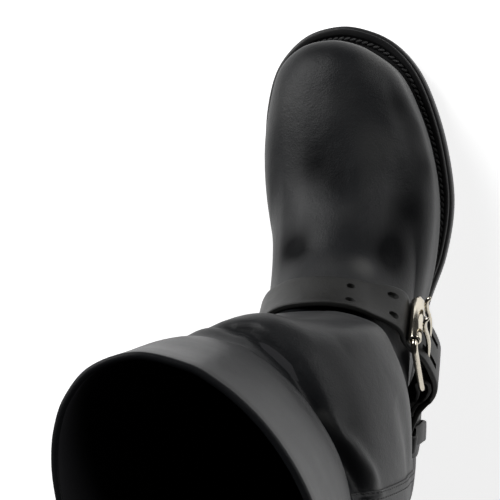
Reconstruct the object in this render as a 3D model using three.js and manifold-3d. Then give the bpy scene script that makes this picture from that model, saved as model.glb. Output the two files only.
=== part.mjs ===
// A tall black leather engineer boot for the right foot: a welted rubber sole with a stacked
// heel, a plain round toe, a slack pull-on shaft and a harness strap with a two-prong roller
// buckle on the outer side.
// Frame, in millimetres: the origin is the centre of the heel's underside on the floor,
// +X points to the outer side of the foot, +Y to the toe and +Z up.
import * as THREE from "three";
import { mergeVertices } from "three/addons/utils/BufferGeometryUtils.js";
import Module from "manifold-3d";

const wasm = await Module();
wasm.setup();

// Driving dimensions of the last and the sole
const soleLength = 284;
const ballWidth = 105;
const heelCentreShare = 0.117;
const heelHeight = 38;
const heelLength = 62;
const toeSpring = 9;
const outsoleThickness = 11;
const weltThickness = 4.5;
const weltLedge = 7;
const weltInset = 1.6;
const insoleThickness = 4;
const topPieceThickness = 7;
const instepHeight = 112;
const seamGap = 0.4;
const edgeRound = 1;
const weltGrip = 3;
const insoleClearance = 0.8;
const heelTaper = 2.5;
const heelStep = 0.8;
const heelBreastHollow = 6;
const heelBreastClear = 3;
const breastSteps = 8;

// Driving dimensions of the upper and the shaft
const wall = 2.4;
const ankleHeight = 150;
const shaftHeight = 382;
const collarLength = 150;
const collarWidth = 100;
const collarTurnDeg = 33;
const ankleSquare = 2.7;

// Driving dimensions of the harness strap and its buckle
const strapWidth = 28;
const strapThickness = 3;
const chapeThickness = 2.4;
const buckleLength = 36;
const frameClearance = 1.5;
const buckleWire = 3.6;
const rollerRadius = 3.6;
const prongWire = 2.6;
const prongSpacing = 14;
const metalGap = 0.35;
const layerGap = 0.45;
const holeDiameter = 4;
const holePairsAt = [-31.5, -50];
const stitchDownLength = 72;
const keeperFromBar = 41;
const foldReturnLength = 24;
const tipPastKeeper = 13;
const keeperWidth = 11;
const keeperThickness = 2;
const seamStripWidth = 5;
const seamStripThickness = 1.3;
const seamFromRow = 13;
const seamToRow = 24.6;
const seamAround = { outer: 0.335, inner: 0.73 };

const heelBackY = -heelCentreShare * soleLength;
const toeTipY = heelBackY + soleLength;

// Sole outline, counter-clockwise from the toe tip along the outer side, round the heel and
// back along the inner side. along is a share of the sole length from the heel back, across
// is a share of the ball width, turn is the direction of the matching point of the shaft in
// degrees from the toe, and ledge is the welt's width there as a share of weltLedge.
const outlinePoints = [
  { along: 0.998, across: -0.07, turn: 0, ledge: 1.85 },
  { along: 0.99, across: 0.085, turn: 12, ledge: 1.85 },
  { along: 0.964, across: 0.228, turn: 24, ledge: 1.8 },
  { along: 0.912, across: 0.352, turn: 36, ledge: 1.44 },
  { along: 0.837, across: 0.44, turn: 47, ledge: 1.29 },
  { along: 0.747, across: 0.502, turn: 58, ledge: 1.14 },
  { along: 0.65, across: 0.53, turn: 69, ledge: 1.04 },
  { along: 0.551, across: 0.491, turn: 81, ledge: 0.69 },
  { along: 0.446, across: 0.4, turn: 94, ledge: 0.15 },
  { along: 0.33, across: 0.35, turn: 108, ledge: 0.25 },
  { along: 0.222, across: 0.343, turn: 122, ledge: 0.5 },
  { along: 0.122, across: 0.345, turn: 137, ledge: 0.6 },
  { along: 0.04, across: 0.292, turn: 153, ledge: 0.6 },
  { along: -0.008, across: 0.125, turn: 171, ledge: 0.6 },
  { along: -0.008, across: -0.125, turn: 189, ledge: 0.6 },
  { along: 0.04, across: -0.29, turn: 207, ledge: 0.6 },
  { along: 0.122, across: -0.34, turn: 223, ledge: 0.6 },
  { along: 0.222, across: -0.328, turn: 238, ledge: 0.6 },
  { along: 0.33, across: -0.296, turn: 252, ledge: 0.7 },
  { along: 0.446, across: -0.303, turn: 266, ledge: 0.85 },
  { along: 0.555, across: -0.382, turn: 279, ledge: 1.06 },
  { along: 0.657, across: -0.452, turn: 291, ledge: 1.22 },
  { along: 0.753, across: -0.481, turn: 302, ledge: 1.42 },
  { along: 0.844, across: -0.465, turn: 313, ledge: 1.61 },
  { along: 0.922, across: -0.398, turn: 326, ledge: 1.6 },
  { along: 0.978, across: -0.252, turn: 342, ledge: 1.75 },
];

// Side wall of the upper, just above the welt. bulge is how far the wall stands out past the
// edge where it meets the welt, as a share of wallBulge, and rise is the height above the
// welt, front and back, as a share of instepHeight.
const wallBulge = 3;
const wallRiseFrom = 0.16;
const wallRiseSpan = 0.3;
const wallRows = [
  { bulge: 0, riseFront: 0, riseBack: 0 },
  { bulge: 0.72, riseFront: 0.062, riseBack: 0.04 },
  { bulge: 1, riseFront: 0.135, riseBack: 0.078 },
  { bulge: 0.8, riseFront: 0.21, riseBack: 0.118 },
];

// Sections over the vamp and the instep. front and back are shares of the sole length from
// the heel's centre, lateral and medial are shares of the ball width, highFront and highBack
// are shares of instepHeight, drop is how far the sides hang below the middle as a share of
// instepHeight, and oval is how much of the shaft's round shape the section has.
const vampRows = [
  { front: 0.852, back: -0.121, lateral: 0.486, medial: 0.418, highFront: 0.5, highBack: 0.57, drop: 0.085, oval: 0.06 },
  { front: 0.826, back: -0.121, lateral: 0.458, medial: 0.396, highFront: 0.576, highBack: 0.6, drop: 0.085, oval: 0.13 },
  { front: 0.778, back: -0.12, lateral: 0.428, medial: 0.37, highFront: 0.612, highBack: 0.63, drop: 0.08, oval: 0.21 },
  { front: 0.714, back: -0.118, lateral: 0.41, medial: 0.352, highFront: 0.621, highBack: 0.655, drop: 0.075, oval: 0.29 },
  { front: 0.641, back: -0.115, lateral: 0.405, medial: 0.343, highFront: 0.639, highBack: 0.68, drop: 0.07, oval: 0.37 },
  { front: 0.563, back: -0.111, lateral: 0.407, medial: 0.338, highFront: 0.688, highBack: 0.715, drop: 0.062, oval: 0.45 },
  { front: 0.492, back: -0.107, lateral: 0.412, medial: 0.338, highFront: 0.76, highBack: 0.755, drop: 0.054, oval: 0.54 },
  { front: 0.43, back: -0.104, lateral: 0.418, medial: 0.343, highFront: 0.85, highBack: 0.82, drop: 0.045, oval: 0.66 },
  { front: 0.386, back: -0.102, lateral: 0.424, medial: 0.352, highFront: 0.975, highBack: 0.92, drop: 0.027, oval: 0.82 },
  { front: 0.35, back: -0.102, lateral: 0.43, medial: 0.366, highFront: 1.135, highBack: 1.085, drop: 0.009, oval: 0.95 },
];

// Sections of the shaft from the ankle to the collar. up is the share of the way between
// them, forward and outward place the section's middle, as shares of the collar's length and
// width, long and short are its size as shares of the same two, turn is how much of the
// collar's turn it has, and square is the power of its rounded outline, 2 for an ellipse. The
// lower half bags out to the side, and the upper half sinks into it at a deep crease.
const shaftRows = [
  { up: 0, forward: 0.2, outward: 0.06, long: 0.875, short: 0.95, turn: 0, square: 2.4 },
  { up: 0.07, forward: 0.206, outward: 0.065, long: 0.9, short: 1, turn: 0, square: 2.8 },
  { up: 0.16, forward: 0.206, outward: 0.06, long: 0.905, short: 1.03, turn: 0, square: 2.7 },
  { up: 0.25, forward: 0.206, outward: 0.035, long: 0.91, short: 1.04, turn: 0.1, square: 2.5 },
  { up: 0.33, forward: 0.206, outward: 0, long: 0.925, short: 1.02, turn: 0.3, square: 2.4 },
  { up: 0.39, forward: 0.206, outward: -0.04, long: 0.95, short: 0.98, turn: 0.6, square: 2.3 },
  { up: 0.43, forward: 0.204, outward: -0.105, long: 0.87, short: 0.77, turn: 1.05, square: 2.2 },
  { up: 0.47, forward: 0.198, outward: -0.11, long: 0.92, short: 0.9, turn: 1.05, square: 2.1 },
  { up: 0.54, forward: 0.192, outward: -0.105, long: 0.95, short: 0.95, turn: 1.05, square: 2 },
  { up: 0.68, forward: 0.186, outward: -0.085, long: 0.965, short: 0.97, turn: 1, square: 2 },
  { up: 0.84, forward: 0.176, outward: -0.055, long: 0.98, short: 0.985, turn: 1, square: 2 },
  { up: 1, forward: 0.167, outward: -0.034, long: 1, short: 1, turn: 1, square: 2 },
];

const roundSteps = 50;
const columnCount = outlinePoints.length;

// Uniform cubic B-spline weights of the four values round a place t between two of them.
function splineWeights(t) {
  const s = 1 - t;
  return [
    (s * s * s) / 6,
    (3 * t * t * t - 6 * t * t + 4) / 6,
    (3 * s * s * s - 6 * s * s + 4) / 6,
    (t * t * t) / 6,
  ];
}

// Weights of the four values round a place t between two of them, for a curve that passes
// through each value.
function throughWeights(t) {
  return [
    (-t * t * t + 2 * t * t - t) / 2,
    (3 * t * t * t - 5 * t * t + 2) / 2,
    (-3 * t * t * t + 4 * t * t + t) / 2,
    (t * t * t - t * t) / 2,
  ];
}

// A point of a closed ring of points, at u from 0 to 1.
function ringPoint(points, u) {
  const place = (u - Math.floor(u)) * points.length;
  const first = Math.floor(place);
  const weights = throughWeights(place - first);
  const sum = points[0].map(() => 0);
  weights.forEach((weight, k) => {
    const point = points[(first + k - 1 + points.length) % points.length];
    point.forEach((value, axis) => (sum[axis] += weight * value));
  });
  return sum;
}

// Part of a rounded square's outline, from the sine or cosine of its direction.
const squared = (t) => Math.sign(t) * Math.abs(t) ** (2 / ankleSquare);
const smooth = (t) => t * t * (3 - 2 * t);
const clamp01 = (t) => Math.min(1, Math.max(0, t));
const mix = (a, b, t) => a + (b - a) * t;

// Underside of the outsole over the length: flat at the ball, rising to the toe and, through
// the shank, to the top of the heel.
const ballFlatStart = heelBackY + 0.55 * soleLength;
const ballFlatEnd = heelBackY + 0.7 * soleLength;
const shankRise = heelHeight - outsoleThickness;
const heelBreastY = heelBackY + heelLength;
function undersideHeight(y) {
  if (y > ballFlatEnd) return toeSpring * ((y - ballFlatEnd) / (toeTipY - ballFlatEnd)) ** 1.8;
  const intoShank = clamp01((ballFlatStart - y) / (ballFlatStart - heelBreastY));
  return (shankRise * (1 - Math.cos(Math.PI * intoShank))) / 2;
}
const weltBottom = (y) => undersideHeight(y) + outsoleThickness + seamGap;
const weltTop = (y) => weltBottom(y) + weltThickness;

// The plan outline, moved inwards by a distance that may differ from point to point.
function outlineRing(insetOf) {
  const flat = outlinePoints.map((p) => [p.across * ballWidth, heelBackY + p.along * soleLength]);
  return flat.map(([x, y], j) => {
    const before = flat[(j - 1 + columnCount) % columnCount];
    const after = flat[(j + 1) % columnCount];
    const alongX = after[0] - before[0];
    const alongY = after[1] - before[1];
    const length = Math.hypot(alongX, alongY);
    const inset = insetOf(outlinePoints[j]);
    return [x + (inset * alongY) / length, y - (inset * alongX) / length];
  });
}

const featherRing = outlineRing((p) => p.ledge * weltLedge);
const featherFront = Math.max(...featherRing.map((p) => p[1]));
const featherBack = Math.min(...featherRing.map((p) => p[1]));

// Control points of the upper's outer face, one ring for each row of the tables. The last two
// of a point's four values are its height, above the welt in so far as the row sits on it,
// and how far the row sits on the welt, from 0 to 1.
function wallRing(row) {
  const ring = outlineRing((p) => p.ledge * weltLedge - row.bulge * wallBulge);
  return ring.map(([x, y]) => {
    const forward = smooth(clamp01((y / soleLength - wallRiseFrom) / wallRiseSpan));
    const rise = mix(row.riseBack, row.riseFront, forward) * instepHeight;
    return [x, y, seamGap + rise, 1];
  });
}

function vampRing(row) {
  const front = row.front * soleLength;
  const back = row.back * soleLength;
  const widest = Math.max(...featherRing.map((p) => p[0]));
  const narrowest = Math.min(...featherRing.map((p) => p[0]));
  return featherRing.map(([featherX, featherY], j) => {
    const share = (featherY - featherBack) / (featherFront - featherBack);
    const side = featherX > 0 ? row.lateral : row.medial;
    const across = featherX > 0 ? featherX / widest : featherX / -narrowest;
    const turn = THREE.MathUtils.degToRad(outlinePoints[j].turn);
    const ovalAcross = squared(Math.sin(turn));
    const ovalShare = (1 + squared(Math.cos(turn))) / 2;
    const blendShare = mix(share, ovalShare, row.oval);
    const blendAcross = mix(across, ovalAcross, row.oval);
    const sideDrop = row.drop * blendAcross ** 2 * smooth(clamp01(2.2 * blendShare - 0.6));
    const high = mix(row.highBack, row.highFront, blendShare) - sideDrop;
    return [
      blendAcross * side * ballWidth,
      mix(back, front, blendShare),
      high * instepHeight,
      0,
    ];
  });
}

function shaftRing(row) {
  const longHalf = (row.long * collarLength) / 2;
  const shortHalf = (row.short * collarWidth) / 2;
  const turned = THREE.MathUtils.degToRad(collarTurnDeg) * row.turn;
  return outlinePoints.map((p) => {
    const direction = THREE.MathUtils.degToRad(p.turn);
    const angle = direction + turned;
    const alongPart = Math.abs(Math.cos(angle) / longHalf) ** row.square;
    const acrossPart = Math.abs(Math.sin(angle) / shortHalf) ** row.square;
    const radius = (alongPart + acrossPart) ** (-1 / row.square);
    return [
      row.outward * collarWidth + radius * Math.sin(direction),
      row.forward * collarLength + radius * Math.cos(direction),
      mix(ankleHeight, shaftHeight, row.up),
      0,
    ];
  });
}

const controlRings = [
  ...wallRows.map(wallRing),
  ...vampRows.map(vampRing),
  ...shaftRows.map(shaftRing),
];
const rowCount = controlRings.length;

// A point of the smooth upper, at u round the foot from the toe tip over the outer side, and
// v from the welt at 0 to the collar at 1.
function smoothPoint(u, v) {
  const place = clamp01(v) * (rowCount - 1);
  const first = Math.min(Math.floor(place), rowCount - 2);
  const sum = [0, 0, 0, 0];
  splineWeights(place - first).forEach((weight, k) => {
    const row = first + k - 1;
    const inside = Math.min(rowCount - 1, Math.max(0, row));
    const point = ringPoint(controlRings[inside], u);
    const inner = row === inside ? point : ringPoint(controlRings[row < 0 ? 1 : rowCount - 2], u);
    point.forEach((value, axis) => {
      sum[axis] += weight * (row === inside ? value : 2 * value - inner[axis]);
    });
  });
  const [x, y, height, seated] = sum;
  return new THREE.Vector3(x, y, height + seated * weltTop(y));
}

function smoothNormal(u, v) {
  const step = 1e-3;
  const low = Math.max(0, v - step);
  const high = Math.min(1, v + step);
  const round = smoothPoint(u + step, v).sub(smoothPoint(u - step, v));
  const up = smoothPoint(u, high).sub(smoothPoint(u, low));
  return up.cross(round).normalize();
}

// A point of the upper's outer face, or of a face that far outside it.
function upperPoint(u, v, outward = 0) {
  const point = smoothPoint(u, v);
  return point.addScaledVector(smoothNormal(u, v), outward);
}

// A closed mesh from a grid of points: rows of equal length, joined row to row. Without caps
// the last row is joined to the first.
function loopMesh(rows, capOf = null) {
  const count = rows[0].length;
  const vertices = rows.flat().flatMap((p) => [p.x, p.y, p.z]);
  const faces = [];
  const last = capOf ? rows.length - 1 : rows.length;
  for (let i = 0; i < last; i += 1) {
    const next = (i + 1) % rows.length;
    for (let j = 0; j < count; j += 1) {
      const beside = (j + 1) % count;
      const [a, b, c, d] = [i * count + j, i * count + beside, next * count + beside, next * count + j];
      faces.push(a, b, c, a, c, d);
    }
  }
  if (capOf) {
    const end = last * count;
    for (const [a, b, c] of capOf(rows[0])) faces.push(a, c, b);
    for (const [a, b, c] of capOf(rows[last])) faces.push(end + a, end + b, end + c);
  }
  return closedGeometry(vertices, faces);
}

// Triangles over the end of a mesh, in strips between the points that face each other.
function pairedCap(loop) {
  const faces = [];
  for (let j = 0; j + 1 < loop.length / 2; j += 1) {
    const [c, d] = [loop.length - 2 - j, loop.length - 1 - j];
    faces.push([j, j + 1, c], [j, c, d]);
  }
  return faces;
}

// Triangles over a level end of a mesh, seen from above.
function levelCap(loop) {
  const flat = loop.map((p) => new THREE.Vector2(p.x, p.y));
  const faces = THREE.ShapeUtils.triangulateShape(flat, []);
  return THREE.ShapeUtils.isClockWise(flat) ? faces.map(([a, b, c]) => [a, c, b]) : faces;
}

function closedGeometry(vertices, faces) {
  const geometry = new THREE.BufferGeometry();
  geometry.setAttribute("position", new THREE.Float32BufferAttribute(vertices, 3));
  geometry.setIndex(faces);
  return facingOut(geometry);
}

// Turns a closed mesh right side out, by the sign of its volume.
function facingOut(geometry) {
  const position = geometry.getAttribute("position");
  const index = geometry.getIndex();
  const corners = [new THREE.Vector3(), new THREE.Vector3(), new THREE.Vector3()];
  let volume = 0;
  for (let i = 0; i < index.count; i += 3) {
    corners.forEach((corner, k) => corner.fromBufferAttribute(position, index.getX(i + k)));
    volume += corners[0].dot(corners[1].clone().cross(corners[2]));
  }
  if (volume < 0) {
    const faces = Array.from(index.array);
    for (let i = 0; i < faces.length; i += 3) [faces[i + 1], faces[i + 2]] = [faces[i + 2], faces[i + 1]];
    geometry.setIndex(faces);
  }
  return geometry;
}

function toSolid(geometry) {
  const bare = new THREE.BufferGeometry();
  bare.setAttribute("position", geometry.getAttribute("position"));
  bare.setIndex(geometry.getIndex());
  const merged = mergeVertices(bare, 1e-3);
  return new wasm.Manifold(
    new wasm.Mesh({
      numProp: 3,
      vertProperties: new Float32Array(merged.getAttribute("position").array),
      triVerts: new Uint32Array(merged.getIndex().array),
    }),
  );
}

function fromSolid(solid) {
  const mesh = solid.getMesh();
  const vertices = [];
  for (let i = 0; i < mesh.numVert; i += 1) {
    vertices.push(...mesh.vertProperties.subarray(i * mesh.numProp, i * mesh.numProp + 3));
  }
  const geometry = new THREE.BufferGeometry();
  geometry.setAttribute("position", new THREE.Float32BufferAttribute(vertices, 3));
  geometry.setIndex(Array.from(mesh.triVerts));
  return geometry;
}

// Upper: one hollow wall from the welt to the collar
const upperLevels = [
  0, 0.5, 1.2, 2, 2.9, 3.8, 4.8, 5.9, 7, 8.2, 9.5, 10.8, 12, 13, 14, 15, 16.2, 17.5, 18.6, 19.3,
  19.8, 20.3, 20.9, 21.8, 23.2, 25,
];
function upperRings(outward) {
  return upperLevels.map((level) =>
    Array.from({ length: roundSteps }, (_, i) => upperPoint(i / roundSteps, level / (rowCount - 1), outward)),
  );
}
function makeUpper() {
  return loopMesh([...upperRings(0), ...upperRings(-wall).reverse()]);
}

// The upper as one filled form, grown by the gap that other pieces keep from it.
const upperForm = toSolid(loopMesh(upperRings(seamGap), pairedCap));

// An outline of the sole moved inwards, as pairs of points that face each other across the
// foot: the toe tip, the outer side, the heel's back and the inner side again.
const solePairs = 32;
const outlineSamples = 720;
function pairedOutline(insetOf) {
  const control = outlineRing(insetOf);
  const dense = Array.from({ length: outlineSamples }, (_, i) => ringPoint(control, i / outlineSamples));
  const tip = dense.reduce((best, p, i) => (p[1] > dense[best][1] ? i : best), 0);
  const round = dense.map((_, i) => dense[(tip + i) % outlineSamples]);
  const heel = round.reduce((best, p, i) => (p[1] < round[best][1] ? i : best), 0);
  const outer = round.slice(0, heel + 1);
  const inner = [...round.slice(heel), round[0]].reverse();
  const acrossAt = (side, y) => {
    const next = side.findIndex((p, i) => i > 0 && p[1] <= y);
    const [before, after] = [side[next - 1], side[next]];
    return mix(before[0], after[0], clamp01((before[1] - y) / (before[1] - after[1] || 1)));
  };
  const ys = Array.from({ length: solePairs - 1 }, (_, i) => {
    const share = (1 - Math.cos((Math.PI * (i + 1)) / solePairs)) / 2;
    return mix(round[0][1], round[heel][1], share);
  });
  return [
    round[0],
    ...ys.map((y) => [acrossAt(outer, y), y]),
    round[heel],
    ...[...ys].reverse().map((y) => [acrossAt(inner, y), y]),
  ];
}

// A ring of the sole: its outline moved inwards, at a height worked out from the place along
// the foot.
function soleRing(insetOf, heightOf) {
  return pairedOutline(insetOf).map(([x, y]) => new THREE.Vector3(x, y, heightOf(y)));
}

// A closed solid through rings of the sole, with its first and last ring filled by strips
// that run straight across the foot.
function layeredSole(rings) {
  const count = rings[0].length;
  const faces = [];
  for (let i = 0; i + 1 < rings.length; i += 1) {
    for (let j = 0; j < count; j += 1) {
      const beside = (j + 1) % count;
      const [a, b, c, d] = [i * count + j, i * count + beside, (i + 1) * count + beside, (i + 1) * count + j];
      faces.push(a, b, c, a, c, d);
    }
  }
  for (const [offset, flipped] of [[0, true], [(rings.length - 1) * count, false]]) {
    for (let j = 0; j < solePairs; j += 1) {
      const [a, b] = [offset + j, offset + j + 1];
      const [c, d] = [offset + ((count - j) % count), offset + count - j - 1];
      const strip = [];
      if (j > 0) strip.push([a, b, c]);
      if (j < solePairs - 1) strip.push([b, d, c]);
      for (const [p, q, r] of strip) faces.push(p, flipped ? r : q, flipped ? q : r);
    }
  }
  return closedGeometry(rings.flat().flatMap((p) => [p.x, p.y, p.z]), faces);
}

// Outsole: one rubber plate that bends from the toe through the ball and shank to the heel
// seat, with a rounded tread edge and a rim that stands a little past the welt
function makeOutsole() {
  const levels = [
    { inset: edgeRound * 2, up: 0 },
    { inset: edgeRound * 0.6, up: edgeRound * 0.6 },
    { inset: 0, up: edgeRound * 2 },
    { inset: 0, up: outsoleThickness - edgeRound },
    { inset: edgeRound, up: outsoleThickness },
  ];
  return layeredSole(
    levels.map(({ inset, up }) => soleRing(() => inset, (y) => undersideHeight(y) + up)),
  );
}

// Welt: a leather strip round the foot between the outsole and the upper, open in the middle
const weltInside = (p) => p.ledge * weltLedge + wall + weltGrip;
function makeWelt() {
  const levels = [
    { inset: () => weltInset, height: weltBottom },
    { inset: () => weltInset, height: (y) => weltTop(y) - edgeRound },
    { inset: () => weltInset + edgeRound, height: weltTop },
    { inset: weltInside, height: weltTop },
    { inset: weltInside, height: weltBottom },
  ];
  return loopMesh(levels.map(({ inset, height }) => soleRing(inset, height)));
}

// Insole: a leather board inside the foot of the upper, with its filling inside the welt
function makeInsole() {
  const filling = (p) => weltInside(p) + seamGap;
  const board = (p) => p.ledge * weltLedge + wall + insoleClearance;
  const boardBottom = (y) => weltTop(y) + seamGap;
  const levels = [
    { inset: filling, height: (y) => weltBottom(y) },
    { inset: filling, height: boardBottom },
    { inset: board, height: boardBottom },
    { inset: board, height: (y) => boardBottom(y) + insoleThickness },
  ];
  return layeredSole(levels.map(({ inset, height }) => soleRing(inset, height)));
}

// Heel: a block of stacked leather and rubber with a curved breast, a little smaller at the
// floor than at its seat under the outsole
const heelTop = shankRise - seamGap;
function heelRing(inset, z) {
  const outline = pairedOutline(() => inset).filter(([, y]) => y < heelBreastY - heelBreastClear);
  const outer = outline[0][0];
  const inner = outline[outline.length - 1][0];
  const breast = Array.from({ length: breastSteps + 1 }, (_, i) => {
    const share = i / breastSteps;
    const hollow = heelBreastHollow * (1 - (2 * share - 1) ** 2);
    return [mix(inner, outer, share), heelBreastY - hollow];
  });
  return [...breast, ...outline].map(([x, y]) => new THREE.Vector3(x, y, z));
}
function makeHeel() {
  const levels = [
    { inset: heelTaper + edgeRound, z: 0 },
    { inset: heelTaper, z: edgeRound },
    { inset: heelTaper, z: topPieceThickness },
    { inset: heelTaper + heelStep, z: topPieceThickness + heelStep },
    { inset: heelStep, z: heelTop },
  ];
  return loopMesh(levels.map(({ inset, z }) => heelRing(inset, z)), levelCap);
}

// The route of the harness strap's middle over the upper, from the outer side of the heel
// over the instep to the inner side. around is the share of the way round the foot from the
// toe over the outer side, and high the height as a share of instepHeight.
const strapRoute = [
  { around: 0.47, high: 0.565 },
  { around: 0.429, high: 0.562 },
  { around: 0.383, high: 0.572 },
  { around: 0.335, high: 0.622 },
  { around: 0.283, high: 0.705 },
  { around: 0.234, high: 0.795 },
  { around: 0.183, high: 0.893 },
  { around: 0.1, high: 1.007 },
  { around: 0.02, high: 1.056 },
  { around: -0.06, high: 1.032 },
  { around: -0.13, high: 0.923 },
  { around: -0.196, high: 0.802 },
  { around: -0.267, high: 0.68 },
  { around: -0.33, high: 0.6 },
  { around: -0.392, high: 0.565 },
  { around: -0.43, high: 0.56 },
];
const buckleRoutePlace = 4.86;

// The place of the upper at a height, found by halving.
function levelAtHeight(u, height) {
  let [low, high] = [0, (wallRows.length + vampRows.length) / (rowCount - 1)];
  while (high - low > 1e-5) {
    const middle = (low + high) / 2;
    if (smoothPoint(u, middle).z < height) low = middle;
    else high = middle;
  }
  return low;
}

// The route as a finely stepped line, with the length along it from the buckle's middle,
// counted towards the heel on the outer side.
const routeSteps = 24;
const routeLine = [];
for (let i = 1; i + 2 < strapRoute.length; i += 1) {
  for (let k = 0; k < routeSteps; k += 1) {
    const spot = { around: 0, high: 0, at: i + k / routeSteps };
    throughWeights(k / routeSteps).forEach((weight, n) => {
      spot.around += weight * strapRoute[i + n - 1].around;
      spot.high += weight * strapRoute[i + n - 1].high;
    });
    spot.level = levelAtHeight(spot.around, spot.high * instepHeight);
    spot.point = smoothPoint(spot.around, spot.level);
    spot.length = i + k === 1 ? 0 : routeLine.at(-1).length + spot.point.distanceTo(routeLine.at(-1).point);
    routeLine.push(spot);
  }
}
const buckleLengthAt = routeLine.find((spot) => spot.at >= buckleRoutePlace).length;
routeLine.forEach((spot) => (spot.length = buckleLengthAt - spot.length));

// Place of the strap's middle on the upper, at a length from the buckle towards the heel.
function routeSpot(length) {
  let next = routeLine.findIndex((spot) => spot.length <= length);
  if (next < 1) next = next === 0 ? 1 : routeLine.length - 1;
  const [before, after] = [routeLine[next - 1], routeLine[next]];
  const share = (before.length - length) / (before.length - after.length);
  return [mix(before.around, after.around, share), mix(before.level, after.level, share)];
}

// Directions of the strap at a length along it: along to the heel, out from the upper, and
// across to the strap's upper edge.
function routeFrame(length) {
  const [u, v] = routeSpot(length);
  const [u0, v0] = routeSpot(length - 4);
  const [u1, v1] = routeSpot(length + 4);
  const point = smoothPoint(u, v);
  const out = smoothNormal(u, v);
  const along = smoothPoint(u1, v1).sub(smoothPoint(u0, v0));
  along.addScaledVector(out, -along.dot(out)).normalize();
  const across = out.clone().cross(along).normalize();
  return { u, v, point, along, out, across };
}

// A place on the upper beside the strap's middle, walked to over the surface in short steps,
// each in the direction across the strap.
const walkSteps = 6;
function besideRoute(frame, aside) {
  let [u, v] = [frame.u, frame.v];
  const probe = 1e-3;
  for (let i = 0; i < walkSteps; i += 1) {
    const round = smoothPoint(u + probe, v).sub(smoothPoint(u - probe, v)).divideScalar(2 * probe);
    const rise = smoothPoint(u, v + probe).sub(smoothPoint(u, v - probe)).divideScalar(2 * probe);
    const out = rise.clone().cross(round).normalize();
    const across = frame.across.clone().addScaledVector(out, -frame.across.dot(out)).normalize();
    const [rr, rs, ss] = [round.dot(round), round.dot(rise), rise.dot(rise)];
    const [ra, sa] = [round.dot(across), rise.dot(across)];
    const stretch = aside / walkSteps / (rr * ss - rs * rs);
    u += stretch * (ss * ra - rs * sa);
    v = Math.max(probe, v + stretch * (rr * sa - rs * ra));
  }
  return [u, v];
}

// The flat seat that the rigid buckle gives the leather round it: 1 beside the buckle and 0
// away from it.
const buckleFrame = routeFrame(0);
const seatHalf = buckleLength / 2 + 3;
const seatFade = 20;
const seatShare = (length) => 1 - smooth(clamp01((Math.abs(length) - seatHalf) / seatFade));

// A point of the harness: at a length along the strap, aside of its middle towards its upper
// edge, and out from the upper.
function harnessPoint(length, aside, out) {
  const frame = routeFrame(length);
  const [u, v] = besideRoute(frame, aside);
  const point = smoothPoint(u, v).addScaledVector(smoothNormal(u, v), out);
  const flat = buckleFrame.point
    .clone()
    .addScaledVector(buckleFrame.along, length)
    .addScaledVector(buckleFrame.across, aside)
    .addScaledVector(buckleFrame.out, out);
  return point.lerp(flat, seatShare(length));
}

// A leather strip laid along a path of lengths and heights, with its width across the strap.
// Where it lies on the upper its inner face is sunk, to be cut to the upper's own form.
const bedDepth = 0.9;
function stripMesh(path, width, thickness, columns = 3) {
  const lowest = Math.min(...path.map((spot) => spot.height));
  const rings = path.map((spot, i) => {
    const bed = bedDepth * (1 - clamp01(spot.height - lowest));
    const before = path[Math.max(0, i - 1)];
    const after = path[Math.min(path.length - 1, i + 1)];
    const [dl, dh] = [after.length - before.length, after.height - before.height];
    const size = Math.hypot(dl, dh);
    const [nl, nh] = [(-dh / size) * (thickness / 2), (dl / size) * (thickness / 2)];
    const wide = width * (spot.share ?? 1);
    const sides = Array.from({ length: columns + 1 }, (_, k) => (k / columns - 0.5) * wide);
    return [
      ...sides.map((aside) => harnessPoint(spot.length + nl, aside, spot.height + nh)),
      ...sides
        .reverse()
        .map((aside) => harnessPoint(spot.length - nl, aside, spot.height - nh - bed)),
    ];
  });
  return loopMesh(rings, pairedCap);
}

// Heights of the harness layers above the upper at the buckle, from the inside out
const chapeLow = seamGap + chapeThickness / 2;
const heelBarHeight = chapeLow + chapeThickness / 2 + metalGap + buckleWire / 2;
const foldRadius = buckleWire / 2 + metalGap + chapeThickness / 2;
const chapeHigh = heelBarHeight + foldRadius;
const strapLow = seamGap + strapThickness / 2;
const rollerHeight = strapLow + strapThickness / 2 + seamGap + rollerRadius;
const strapHigh = chapeHigh + chapeThickness / 2 + seamGap + strapThickness / 2;
const rollerLength = -buckleLength / 2;
const heelBarLength = buckleLength / 2;
const chapeLifted = seamGap + keeperThickness + layerGap + chapeThickness / 2;
const strapInKeeper = chapeLifted + (chapeThickness + strapThickness) / 2 + seamGap;
const keeperAt = heelBarLength + keeperFromBar;
const strapEndAt = keeperAt + tipPastKeeper;
const strapStartAt = -198;
const chapeEndAt = heelBarLength + stitchDownLength;
const chapeReturnAt = heelBarLength + foldReturnLength;

// A smooth line through spots of length and height, stepped finely enough for a strip.
function smoothPath(spots, step) {
  const curve = new THREE.CatmullRomCurve3(
    spots.map(({ length, height }) => new THREE.Vector3(length, height, 0)),
    false,
    "centripetal",
  );
  const count = Math.ceil(curve.getLength() / step);
  return curve.getSpacedPoints(count).map((p) => ({ length: p.x, height: p.y }));
}

// A block across the strap between two lengths and two sides, to cut slots with.
function harnessBlock(lengthFrom, lengthTo, aside, width) {
  const [low, high] = [-6, 24];
  const corner = (length, side, height) => flatPoint(length, aside + side * (width / 2), height);
  const ring = (length) => [
    corner(length, -1, low),
    corner(length, 1, low),
    corner(length, 1, high),
    corner(length, -1, high),
  ];
  return toSolid(loopMesh([ring(lengthFrom), ring(lengthTo)], pairedCap));
}

// A point of the rigid buckle, in the plane that touches the upper at the buckle's middle.
function flatPoint(length, aside, out) {
  return buckleFrame.point
    .clone()
    .addScaledVector(buckleFrame.along, length)
    .addScaledVector(buckleFrame.across, aside)
    .addScaledVector(buckleFrame.out, out);
}

const prongSides = [-prongSpacing / 2, prongSpacing / 2];

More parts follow.
